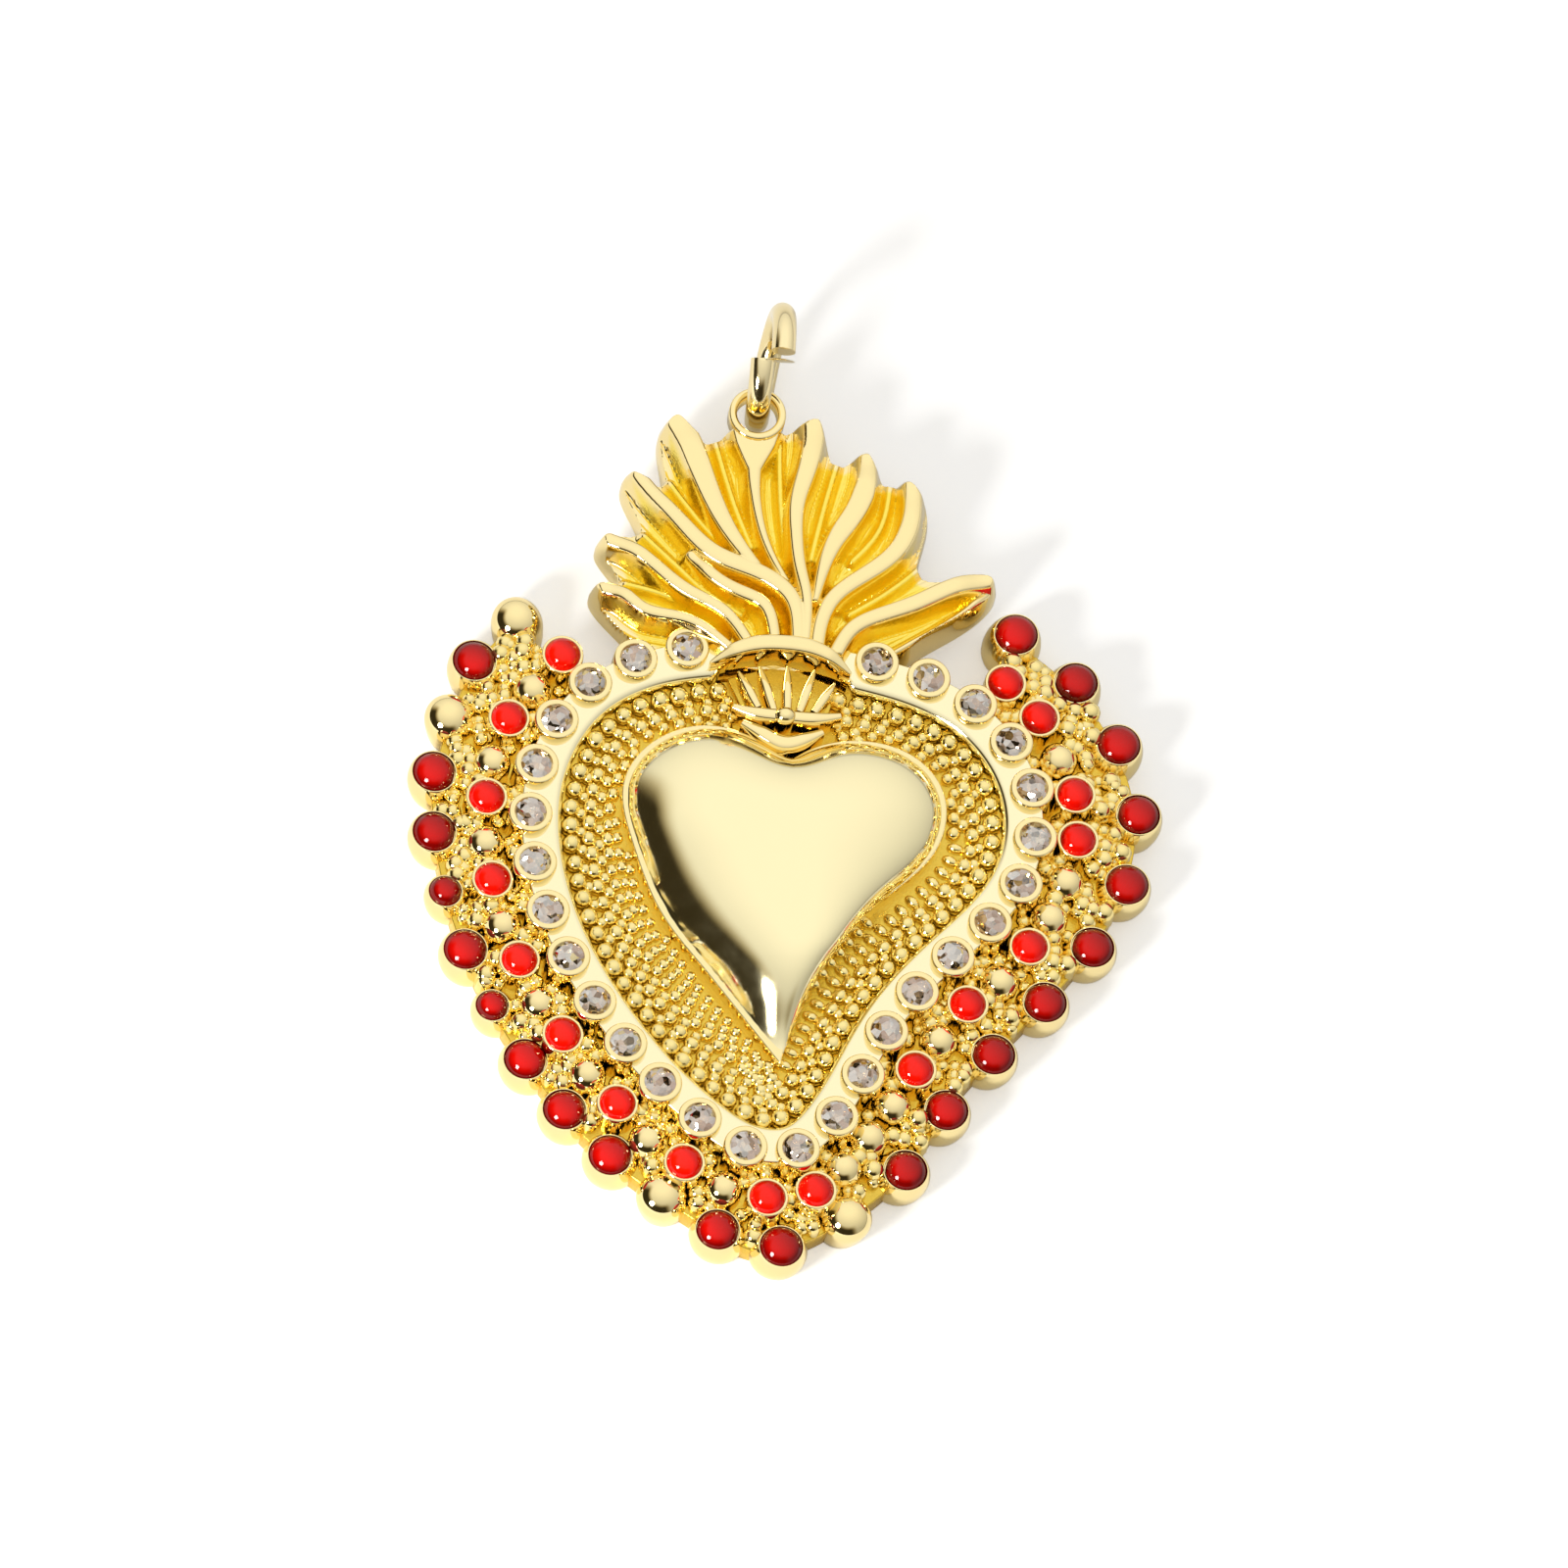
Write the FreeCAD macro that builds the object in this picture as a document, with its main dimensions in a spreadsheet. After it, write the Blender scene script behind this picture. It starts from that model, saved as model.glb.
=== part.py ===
"""Sacred heart pendant: a cast ornament with set stones, enamel drops and an open jump ring.

Millimetres. The flat back lies on the XY plane, +Z comes out of the front and +Y points
towards the jump ring. The origin is on the back, behind the middle of the heart.
"""
import FreeCAD, Part
import math
import os

os.makedirs("parts", exist_ok=True)
Vector = FreeCAD.Vector
UP = Vector(0, 0, 1)
doc = FreeCAD.newDocument("sacred_heart_pendant")

# Driving dimensions: one named cell each, in millimetres or degrees
SIZES = [
    ("outline_unit", 1.0, "length that one unit of the drawn outlines stands for"),
    ("round_sides", 10, "flat sides that stand for a small turned round"),
    ("line_steps", 60, "straight stretches that stand for a closed outline"),
    ("heart_steps", 22, "straight stretches that stand for half of the heart outline"),
    ("plate_thickness", 1.0, "plate that carries the two outer rows"),
    ("plate_margin", 0.25, "plate beyond the centres of the outermost row"),
    ("channel_floor", 1.45, "height of the granulated channel around the heart"),
    ("border_height", 2.2, "height of the flat border that carries the clear stones"),
    ("border_outside", 0.3, "border beyond the line of the clear stones"),
    ("border_inside", 1.2, "border inside the line of the clear stones"),
    ("stone_diameter", 1.2, "clear stone across its girdle"),
    ("stone_table", 0.66, "clear stone across its table"),
    ("stone_crown", 0.13, "crown height of a clear stone"),
    ("stone_pavilion", 0.5, "pavilion depth of a clear stone"),
    ("stone_sink", 0.06, "girdle below the rim of its bezel"),
    ("seat_clearance", 0.01, "running gap between a stone or drop and its seat"),
    ("bezel_foot", 1.78, "bezel diameter on the back plane"),
    ("bezel_rim", 1.64, "bezel diameter at its rim"),
    ("bezel_height", 0.35, "bezel rim above the border"),
    ("inner_row_offset", 1.62, "inner row outside the line of the clear stones"),
    ("inner_cup_foot", 1.68, "inner cup diameter at its foot"),
    ("inner_cup_rim", 1.56, "inner cup diameter at its rim"),
    ("inner_cup_height", 2.1, "inner cup rim above the back"),
    ("inner_drop", 1.32, "enamel drop of the inner row, diameter"),
    ("inner_ball", 1.42, "plain ball of the inner row, diameter"),
    ("inner_ball_height", 2.1, "plain ball of the inner row, top above the back"),
    ("outer_cup_foot", 2.0, "outer cup diameter on the back plane"),
    ("outer_cup_belly", 2.24, "outer cup diameter at its widest"),
    ("outer_cup_rim", 1.74, "outer cup diameter at its rim"),
    ("outer_cup_height", 1.5, "outer cup rim above the back"),
    ("outer_lean", 0.28, "rim of an outer cup beyond its foot, away from the heart"),
    ("outer_drop", 1.44, "enamel drop of the outer row, diameter"),
    ("small_cup_belly", 1.8, "smallest outer cups, diameter at the widest"),
    ("small_cup_rim", 1.34, "smallest outer cups, diameter at the rim"),
    ("small_drop", 1.06, "enamel drop of the smallest outer cups, diameter"),
    ("outer_ball", 1.96, "plain ball of the outer row, diameter"),
    ("outer_ball_height", 1.95, "plain ball of the outer row, top above the back"),
    ("drop_seat_depth", 0.25, "depth of the recess that holds a drop"),
    ("drop_rise", 0.46, "crown of a drop above the rim of its cup"),
    ("flange_height", 2.15, "height of the narrow flange around the heart"),
    ("dome_foot", 0.955, "heart dome at its foot, as a share of the heart outline"),
    ("dome_top", 4.1, "top of the heart dome above the back"),
    ("dome_fullness", 2.6, "exponent of the dome's section, higher is squarer"),
    ("band_width", 0.62, "curved band over the heart, width at the middle"),
    ("band_height", 3.5, "top of the curved band above the back"),
    ("fan_ray_width", 0.27, "ray of the little fan, width"),
    ("fan_height", 2.65, "top of the fan rays above the back"),
    ("fan_bed", 2.1, "bed between the fan rays above the back"),
    ("bar_width", 0.42, "cross bar and collar, width"),
    ("cross_height", 2.85, "top of the cross bar above the back"),
    ("collar_height", 2.6, "top of the collar in the notch above the back"),
    ("knob_diameter", 0.78, "knob at the middle of the cross bar"),
    ("knob_rise", 0.2, "knob above the cross bar"),
    ("flame_underside", 0.9, "underside of the flame above the back plane"),
    ("flame_valley", 1.85, "valley floor of the flame above the back"),
    ("flame_crest", 2.95, "crest of the main flame ribs above the back"),
    ("flame_tip_drop", 0.35, "fall of a crest at its free tip"),
    ("rib_crest", 0.5, "main flame rib, width of its polished crest"),
    ("rib_slope", 0.3, "main flame rib, width of each side wall"),
    ("rib_round", 0.12, "main flame rib, fall of its crest at its rounded shoulders"),
    ("fine_rib_crest", 0.2, "fine rib in a valley, width of its crest"),
    ("fine_rib_slope", 0.14, "fine rib in a valley, width of each side wall"),
    ("fine_rib_round", 0.06, "fine rib in a valley, fall of its crest at its shoulders"),
    ("fine_rib_height", 2.3, "fine rib in a valley, crest above the back"),
    ("eyelet_hole", 1.55, "hole that the jump ring hangs in, diameter"),
    ("eyelet_wall", 0.3, "wall around that hole"),
    ("eyelet_thickness", 0.8, "thickness of the eyelet along its hole"),
    ("ring_diameter", 5.0, "jump ring, outside"),
    ("ring_wire", 0.9, "jump ring, wire diameter"),
    ("ring_sides", 10, "flat sides that stand for the round wire"),
    ("ring_steps", 26, "straight stretches that stand for the ring's turn"),
    ("ring_sweep", 350.0, "angle from one cut end of the wire to the other"),
    ("ring_lead", 0.75, "sideways travel of the wire in one full turn"),
    ("ring_turn", 6.5, "ring plane turned from the middle plane of the pendant"),
    ("ring_gap_turn", 112.0, "gap of the ring, turned up to the front from its far side"),
    ("ring_swing", 30.0, "swing of the ring to either side of its rest"),
    ("ring_play", 0.05, "gap between the ring and the corners of the eyelet wall"),
]

STONE_COUNT = 28
STONE_FACETS = 8

# Drawn outlines, in outline units. Each list runs from the notch of the heart to its tip.
HEART_LEFT = [(-0.05, 4.2), (-1.35, 5.05), (-3.2, 5.5), (-5.3, 4.6), (-6.3, 2.8), (-5.95, 0.6),
              (-4.9, -2.2), (-3.4, -4.3), (-2.1, -6.0), (-0.4, -8.24)]
HEART_RIGHT = [(-0.05, 4.2), (1.0, 4.85), (2.7, 5.15), (4.6, 4.6), (5.75, 3.0), (5.5, 0.95),
               (4.4, -0.45), (2.8, -1.9), (1.5, -3.3), (0.6, -4.9), (0.0, -6.6), (-0.4, -8.24)]
DOME_CENTRE = (-0.25, 0.9)

# Closed line of the clear stones: under the band, down the left side and up the right one
STONE_LINE = [(-0.4, 8.75), (-3.92, 8.47), (-7.1, 7.2), (-9.35, 4.0), (-9.65, -0.1),
              (-8.6, -3.8), (-6.6, -7.25), (-3.9, -10.3), (-0.14, -11.9), (1.45, -10.65),
              (3.4, -7.0), (5.8, -3.85), (8.5, -0.6), (8.95, 3.4), (6.7, 6.8), (3.17, 8.23)]
FIRST_STONE = STONE_LINE[1]
LAST_STONE = STONE_LINE[-1]

# Ends of the inner row: r is a red drop in a cup, b a plain ball
INNER_ENDS = ((-8.6, 8.2), (8.1, 7.9))
INNER_PATTERN = "rbrbrbrbrbrbrbrbrrbbbrbrbrbbrrbrr"
INNER_PITCH = {"r": 1.1, "b": 0.9}

# Open line of the outer row, and its left and right stretches: s is a smaller red drop
OUTER_LINE = [(-10.2, 9.85), (-12.6, 6.3), (-13.3, 2.0), (-12.5, -2.6), (-10.6, -6.9),
              (-7.7, -10.9), (-4.4, -13.7), (-0.3, -15.3), (3.4, -13.2), (6.1, -9.1),
              (9.2, -5.3), (12.0, -1.4), (13.05, 2.9), (11.9, 6.6), (8.5, 10.1)]
OUTER_BOTTOM = OUTER_LINE[7]
OUTER_LEFT = "brbrrsrsrrrbrr"
OUTER_RIGHT = "brrrrrrrrrr"
PLATE_TOP = [(5.6, 7.2), (-6.8, 7.0)]

# Curved band, fan, cross bar and collar between the flame and the notch of the heart
BAND_ENDS = ((-3.1, 7.7), (2.15, 7.5))
BAND_MIDDLE = (-0.45, 8.72)
FAN_RAYS = [((-2.0, 7.5), (-1.28, 6.2)), ((-1.2, 7.9), (-0.7, 6.1)), ((-0.2, 8.2), (-0.2, 6.05)),
            ((0.9, 7.7), (0.25, 6.05)), ((1.5, 7.2), (0.85, 6.1))]
CROSS_BAR = [(-2.15, 6.1), (-0.3, 5.75), (1.75, 5.9)]
COLLAR = [(-1.8, 5.5), (-0.65, 4.75), (0.0, 4.72), (1.1, 5.15)]

# Flame: the edge of its plate, then each rib from its free tip to its root
FLAME_EDGE = [(-4.9, 8.3), (-6.4, 9.3), (-7.45, 10.6), (-7.35, 11.1), (-6.5, 11.3), (-7.25, 12.6),
              (-6.9, 13.2), (-5.7, 13.4), (-6.3, 15.1), (-6.0, 15.8), (-4.85, 15.4), (-4.95, 17.4),
              (-4.4, 18.2), (-3.9, 18.0), (-3.0, 17.2), (-2.3, 17.7), (-0.4, 17.7), (0.5, 18.2),
              (1.1, 18.25), (1.4, 17.5), (1.75, 16.5), (2.5, 16.9), (3.1, 16.8), (3.65, 15.75),
              (4.3, 15.9), (4.9, 15.5), (5.15, 14.0), (4.95, 12.1), (7.2, 12.2), (7.75, 11.7),
              (6.6, 10.3), (5.0, 9.2), (3.4, 8.3)]
MAIN_RIBS = {
    "left_tall": [(-4.3, 17.8), (-3.8, 16.6), (-3.25, 15.1), (-2.6, 13.6), (-1.7, 12.2), (-0.8, 11.2)],
    "left_upper": [(-5.75, 15.4), (-5.1, 14.5), (-4.3, 13.6), (-3.0, 12.3), (-1.5, 11.65), (-0.4, 11.0),
                   (0.1, 10.2), (0.2, 8.6)],
    "left_fork": [(-3.75, 12.2), (-2.95, 11.3), (-1.9, 10.7), (-1.05, 10.2), (-0.65, 8.6)],
    "left_lower": [(-6.85, 12.7), (-6.0, 12.3), (-5.1, 11.6), (-4.0, 10.7), (-2.6, 9.9), (-1.6, 8.6)],
    "left_foot": [(-7.05, 10.7), (-6.3, 10.4), (-5.5, 9.8), (-4.0, 9.5), (-2.4, 8.5)],
    "eyelet_stem": [(-1.42, 17.1), (-1.45, 15.4), (-1.25, 13.7), (-0.8, 12.3), (0.0, 10.9)],
    "right_tall": [(0.8, 18.0), (0.74, 17.0), (0.5, 15.8), (0.16, 14.5), (0.12, 13.2), (0.25, 11.9),
                   (0.5, 10.6), (0.45, 8.6)],
    "right_second": [(2.8, 16.55), (2.75, 15.5), (2.35, 14.3), (1.75, 13.3), (1.25, 12.2), (0.85, 10.6)],
    "right_third": [(4.5, 15.5), (4.48, 14.5), (4.2, 13.3), (3.5, 12.3), (2.35, 11.4), (1.5, 10.6),
                    (1.05, 9.6), (0.9, 8.6)],
    "right_long": [(7.3, 11.8), (5.9, 11.3), (4.6, 10.6), (3.2, 10.0), (2.2, 9.4), (1.6, 8.4)],
}

# Width of each main rib at its tip, middle and root, as shares of the usual crest
RIB_WIDTHS = {
    "left_tall": (1.9, 1.5, 0.7), "left_upper": (1.0, 1.4, 1.0), "left_fork": (0.9, 1.0, 0.8),
    "left_lower": (1.0, 1.0, 0.8), "left_foot": (1.0, 0.9, 0.7), "eyelet_stem": (2.2, 0.8, 0.5),
    "right_tall": (1.7, 1.0, 0.7), "right_second": (1.2, 1.7, 0.6), "right_third": (1.3, 1.3, 1.1),
    "right_long": (1.3, 1.2, 1.0),
}
FINE_RIB_WIDTHS = (1.1, 1.0, 0.7)
FINE_RIBS = [
    [(-4.55, 15.3), (-3.45, 13.8), (-2.4, 12.75)],
    [(-2.85, 17.1), (-2.2, 14.7), (-1.5, 12.9)],
    [(-0.45, 17.4), (-0.4, 14.7), (-0.2, 12.8)],
    [(1.7, 16.4), (1.2, 14.5), (0.75, 12.5)],
    [(3.7, 15.6), (3.3, 13.8), (2.3, 12.5)],
    [(4.9, 12.4), (3.7, 11.3), (2.2, 10.3)],
    [(-5.5, 13.1), (-4.4, 12.0), (-3.3, 11.0), (-1.9, 10.1)],
    [(-6.2, 11.1), (-4.5, 10.6), (-2.9, 9.7)],
]
EYELET_CENTRE = (-1.34, 18.06)

# Sections of the round forms: share of the radius, then share of the height, from the bottom up
DROP_CROWN = [(0.86, 0.55), (0.36, 1.0)]
CUP_BELLY_SHARE = 0.42
INNER_BALL_CROWN = [(1.0, -0.6), (0.45, 0.0)]
OUTER_BALL_RINGS = [(0.92, 0.0), (1.0, 0.4), (0.86, 0.72), (0.5, 0.95), (0.15, 1.0)]
KNOB_TOP_SHARE = 0.5
DOME_RINGS = (1.0, 0.985, 0.93, 0.82, 0.62, 0.36, 0.12)
DOME_SUNK_SHARE = 0.05
RIB_FLAT_SHARE = 0.55


def fill_sheet():
    """Write the driving dimensions into the sheet, one row each."""
    table = doc.addObject("Spreadsheet::Sheet", "sizes")
    for number, (alias, value, note) in enumerate(SIZES, start=1):
        table.set(f"A{number}", alias)
        table.set(f"B{number}", str(value))
        table.set(f"C{number}", note)
        table.setAlias(f"B{number}", alias)
    doc.recompute()
    return table


sheet = fill_sheet()


def size(alias):
    """Value of a driving dimension."""
    return float(sheet.get(alias))


def whole(alias):
    """Value of a driving count."""
    return int(round(size(alias)))


def spot(place, height=0.0):
    """Point of a drawn outline at a height above the back."""
    return Vector(place[0] * size("outline_unit"), place[1] * size("outline_unit"), height)


def spline(places, closed=False):
    """Smooth curve through drawn points on the back plane."""
    curve = Part.BSplineCurve()
    curve.interpolate([spot(place) for place in places], PeriodicFlag=closed)
    return curve


def outward(curve, parameter):
    """Unit normal to the right of travel, which is outwards on every line drawn here."""
    along = curve.tangent(parameter)[0]
    return Vector(along.y, -along.x, 0)


def beside(curve, distance, closed=False):
    """Points of the line that runs beside a curve at a distance, positive outwards."""
    first, last = curve.FirstParameter, curve.LastParameter
    count = whole("line_steps")
    points = []
    for number in range(count if closed else count + 1):
        parameter = first + (last - first) * number / count
        points.append(curve.value(parameter) + outward(curve, parameter) * distance)
    return points


def loop(points):
    """Closed wire of straight edges through points."""
    return Part.makePolygon(list(points) + [points[0]])


def stations(curve, start, end, gaps):
    """Place and outward direction of each piece in a row, spaced in proportion to the gaps."""
    first = curve.parameter(start)
    last = curve.parameter(end)
    share = curve.length(first, last) / sum(gaps)
    places = [(curve.value(first), outward(curve, first))]
    travelled = 0.0
    for gap in gaps:
        travelled += gap * share
        parameter = curve.parameterAtDistance(travelled, first)
        places.append((curve.value(parameter), outward(curve, parameter)))
    return places


def facet(points):
    """Flat face inside a closed polygon."""
    return Part.Face(loop(points))


def closed_solid(faces):
    """Solid bounded by flat faces that meet edge to edge."""
    solid = Part.makeSolid(Part.makeShell(faces))
    if solid.Volume < 0:
        solid.reverse()
    return solid


def skinned(sections, flat=True):
    """Solid through polygons of equal count; flat says that the side faces are plane."""
    faces = [facet(sections[0]), facet(sections[-1])]
    for lower, upper in zip(sections, sections[1:]):
        for index in range(len(lower)):
            after = (index + 1) % len(lower)
            if flat:
                faces.append(facet([lower[index], lower[after], upper[after], upper[index]]))
            else:
                faces.append(facet([lower[index], lower[after], upper[after]]))
                faces.append(facet([lower[index], upper[after], upper[index]]))
    return closed_solid(faces)


def polygon(radius, height, sides, shift=0.0):
    """Corners of a regular polygon about the Z axis, or shifted from it along X."""
    corners = []
    for index in range(sides):
        angle = 2 * math.pi * index / sides
        corners.append(Vector(shift + radius * math.cos(angle), radius * math.sin(angle), height))
    return corners


def turned(profile):
    """Small turned form: radius and height of each ring, from the bottom up."""
    return skinned([polygon(radius, height, whole("round_sides")) for radius, height in profile])


def facing(place):
    """Placement on the back plane whose X axis points along the outward direction."""
    point, out = place
    return FreeCAD.Placement(Vector(point.x, point.y, 0), FreeCAD.Rotation(Vector(1, 0, 0), out))


def placed(shape, placement):
    """Copy of a shape moved into the casting."""
    copy = shape.copy()
    copy.Placement = placement
    return copy


def part_feature(name, shape, placement=FreeCAD.Placement()):
    """Object of the document that holds a shape worked out from the sheet."""
    item = doc.addObject("Part::Feature", name)
    item.Label = name
    item.Shape = shape
    item.Placement = placement
    return item


def extruded(name, wire, bottom, top):
    """Plate between two heights, each an expression on the sheet."""
    outline = part_feature(name + "_outline", wire)
    plate = doc.addObject("Part::Extrusion", name)
    plate.Base = outline
    plate.DirMode = "Custom"
    plate.Dir = UP
    plate.Solid = True
    plate.setExpression("LengthFwd", f"{top} - ({bottom})")
    plate.setExpression("Placement.Base.z", f"{bottom}")
    return plate


# Lines that the rows and plates follow
heart_left = spline(HEART_LEFT)
heart_right = spline(HEART_RIGHT)
stone_line = spline(STONE_LINE, closed=True)
inner_line = Part.BSplineCurve()
inner_line.interpolate(beside(stone_line, size("inner_row_offset"), closed=True), PeriodicFlag=True)
outer_line = spline(OUTER_LINE)

rim_height = size("border_height") + size("bezel_height")
girdle_height = rim_height - size("stone_sink")


def heart_points(share=1.0, height=0.0):
    """Heart outline from notch to tip and back, drawn in towards the dome's centre and lifted."""
    count = whole("heart_steps") + 1
    outline = heart_left.discretize(count) + heart_right.discretize(count)[-2:0:-1]
    centre = spot(DOME_CENTRE)
    return [centre + (point - centre) * share + UP * height for point in outline]


def heart_dome():
    """Puffed heart: the outline shrinks as a superellipse rises, so the walls stay steep."""
    foot = size("dome_foot")
    base = size("flange_height") - (size("dome_top") - size("flange_height")) * DOME_SUNK_SHARE
    rise = size("dome_top") - base
    power = size("dome_fullness")
    sections = []
    for share in DOME_RINGS:
        height = base + rise * (1 - share ** power) ** (1 / power)
        sections.append(heart_points(foot * share, height))
    return skinned(sections)


def brilliant():
    """Clear stone: octagonal table, pointed crown facets to a round girdle, cone below."""
    table = polygon(size("stone_table") / 2, girdle_height + size("stone_crown"), STONE_FACETS)
    girdle = polygon(size("stone_diameter") / 2, girdle_height, 2 * STONE_FACETS)
    culet = UP * (girdle_height - size("stone_pavilion"))
    faces = [facet(table)]
    count = len(girdle)
    for index in range(STONE_FACETS):
        corner, after = table[index], table[(index + 1) % STONE_FACETS]
        faces.append(facet([girdle[2 * index - 1], girdle[2 * index], corner]))
        faces.append(facet([girdle[2 * index], girdle[2 * index + 1], corner]))
        faces.append(facet([corner, girdle[2 * index + 1], after]))
    for index in range(count):
        faces.append(facet([girdle[index], girdle[(index + 1) % count], culet]))
    return closed_solid(faces)


def stone_seat():
    """Cone that the pavilion of a stone rests in, cut up to the rim of the bezel."""
    slope = size("stone_diameter") / 2 / size("stone_pavilion")
    culet = UP * (girdle_height - size("stone_pavilion") - size("seat_clearance"))
    mouth = polygon((rim_height - culet.z) * slope, rim_height, 2 * STONE_FACETS)
    faces = [facet(mouth)]
    for index in range(len(mouth)):
        faces.append(facet([mouth[index - 1], mouth[index], culet]))
    return closed_solid(faces)


def bezel():
    """Collar of a clear stone: a round tube from the back up, so the border's edge is scalloped."""
    return turned([(size("bezel_foot") / 2, 0), (size("bezel_rim") / 2, rim_height)])


def drop(diameter, rim):
    """Enamel drop: straight edge in its recess, rounded crown above the rim."""
    radius = diameter / 2
    floor = rim - size("drop_seat_depth")
    crown = [(radius * wide, rim + size("drop_rise") * high) for wide, high in DROP_CROWN]
    return turned([(radius, floor)] + crown)


def recess(diameter, rim):
    """Recess of a drop, cut from above its rim down to its floor."""
    radius = diameter / 2 + size("seat_clearance")
    floor = rim - size("drop_seat_depth")
    return turned([(radius, floor), (radius, rim + size("drop_rise"))])


def leaning(profile):
    """Turned form of the outer row, whose rings shift outwards as they rise to the cup's rim."""
    lean = size("outer_lean") / size("outer_cup_height")
    sides = whole("round_sides")
    return skinned([polygon(radius, height, sides, lean * min(height, size("outer_cup_height")))
                    for radius, height in profile])


def outer_cup(belly, rim):
    """Cup of the outer row, rounded like a barrel and open at the top."""
    foot = belly * size("outer_cup_foot") / size("outer_cup_belly")
    high = size("outer_cup_height")
    return leaning([(foot / 2, 0), (belly / 2, high * CUP_BELLY_SHARE), (rim / 2, high)])


def inner_cup():
    """Cup of the inner row, standing in the row plate."""
    return turned([(size("inner_cup_foot") / 2, size("plate_thickness") / 2),
                   (size("inner_cup_rim") / 2, size("inner_cup_height"))])


def inner_ball():
    """Plain ball between the inner cups."""
    radius = size("inner_ball") / 2
    high = size("inner_ball_height")
    crown = [(radius * wide, high + radius * fall) for wide, fall in INNER_BALL_CROWN]
    return turned([(radius, size("plate_thickness") / 2)] + crown)


def outer_ball():
    """Plain ball of the outer row, shaped like the cups beside it but closed."""
    radius = size("outer_ball") / 2
    high = size("outer_ball_height")
    return leaning([(radius * wide, high * share) for wide, share in OUTER_BALL_RINGS])


def bar(points, width, bottom, top):
    """Narrow bar along a bent line, cut square at its ends."""
    left, right = [], []
    for index, point in enumerate(points):
        before = points[max(index - 1, 0)]
        after = points[min(index + 1, len(points) - 1)]
        along = (after - before).normalize()
        side = Vector(-along.y, along.x, 0) * (width / 2)
        left.append(point + side)
        right.append(point - side)
    outline = left + right[::-1]
    face = facet([Vector(p.x, p.y, bottom) for p in outline])
    return face.extrude(UP * (top - bottom))


def at_share(values, share):
    """Value between a first, a middle and a last one, for a share of the way along."""
    first, middle, last = values
    if share < 0.5:
        return first + (middle - first) * share * 2
    return middle + (last - middle) * (share * 2 - 1)


def rib(places, widths, kind, height):
    """Flame rib along a line: its rounded crest swells and thins, its side walls slope to the floor."""
    points = [spot(place) for place in places]
    floor = (size("flame_underside") + size("flame_valley")) / 2
    sections = []
    for index, point in enumerate(points):
        before = points[max(index - 1, 0)]
        after = points[min(index + 1, len(points) - 1)]
        along = (after - before).normalize()
        side = Vector(-along.y, along.x, 0)
        half = size(kind + "_crest") * at_share(widths, index / (len(points) - 1)) / 2
        top = height - (size("flame_tip_drop") if index == 0 else 0)
        corners = [(half + size(kind + "_slope"), floor), (half, top - size(kind + "_round")),
                   (half * RIB_FLAT_SHARE, top)]
        sections.append([point - side * reach + UP * level for reach, level in corners]
                        + [point + side * reach + UP * level for reach, level in reversed(corners)])
    return skinned(sections, flat=False)


def jump_ring():
    """Open jump ring: wire bent through one turn, its cut ends side by side on the front."""
    radius = (size("ring_diameter") - size("ring_wire")) / 2
    steps = whole("ring_steps")
    sweep = math.radians(size("ring_sweep"))
    sections = []
    for number in range(steps + 1):
        angle = sweep * (number / steps - 0.5) - math.radians(size("ring_gap_turn"))
        centre = Vector(-size("ring_lead") * angle / (2 * math.pi), -radius * math.cos(angle),
                        radius * math.sin(angle))
        out = Vector(0, -math.cos(angle), math.sin(angle))
        section = []
        for side in range(whole("ring_sides")):
            around = 2 * math.pi * side / whole("ring_sides")
            section.append(centre + out * (size("ring_wire") / 2 * math.cos(around))
                           + Vector(size("ring_wire") / 2 * math.sin(around), 0, 0))
        sections.append(section)
    return skinned(sections, flat=False)


# Plates of the casting
row_edge = beside(outer_line, size("plate_margin")) + [spot(place) for place in PLATE_TOP]
row_plate = extruded("row_plate", loop(row_edge), "0", "sizes.plate_thickness")
border_edge = beside(stone_line, size("border_outside"), closed=True)
channel_edge = beside(stone_line, -size("border_inside"), closed=True)
border_block = extruded("border_block", loop(border_edge), "0", "sizes.border_height")
channel = extruded("channel", loop(channel_edge), "sizes.channel_floor", "sizes.border_height * 2")
border = doc.addObject("Part::Cut", "border")
border.Base = border_block
border.Tool = channel
flange = extruded("flange", loop(heart_points()), "sizes.channel_floor / 2", "sizes.flange_height")
dome = part_feature("dome", heart_dome())

# Rows of stones, cups and balls
stone_places = stations(stone_line, spot(FIRST_STONE), spot(LAST_STONE), [1] * (STONE_COUNT - 1))
inner_kinds = list(INNER_PATTERN)
inner_gaps = [(INNER_PITCH[a] + INNER_PITCH[b]) / 2 for a, b in zip(inner_kinds, inner_kinds[1:])]
inner_places = stations(inner_line, spot(INNER_ENDS[0]), spot(INNER_ENDS[1]), inner_gaps)
outer_kinds = list(OUTER_LEFT + OUTER_RIGHT)
left_gaps = [1] * (len(OUTER_LEFT) - 1)
right_gaps = [1] * len(OUTER_RIGHT)
outer_places = stations(outer_line, outer_line.StartPoint, spot(OUTER_BOTTOM), left_gaps)
outer_places += stations(outer_line, spot(OUTER_BOTTOM), outer_line.EndPoint, right_gaps)[1:]

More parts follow.
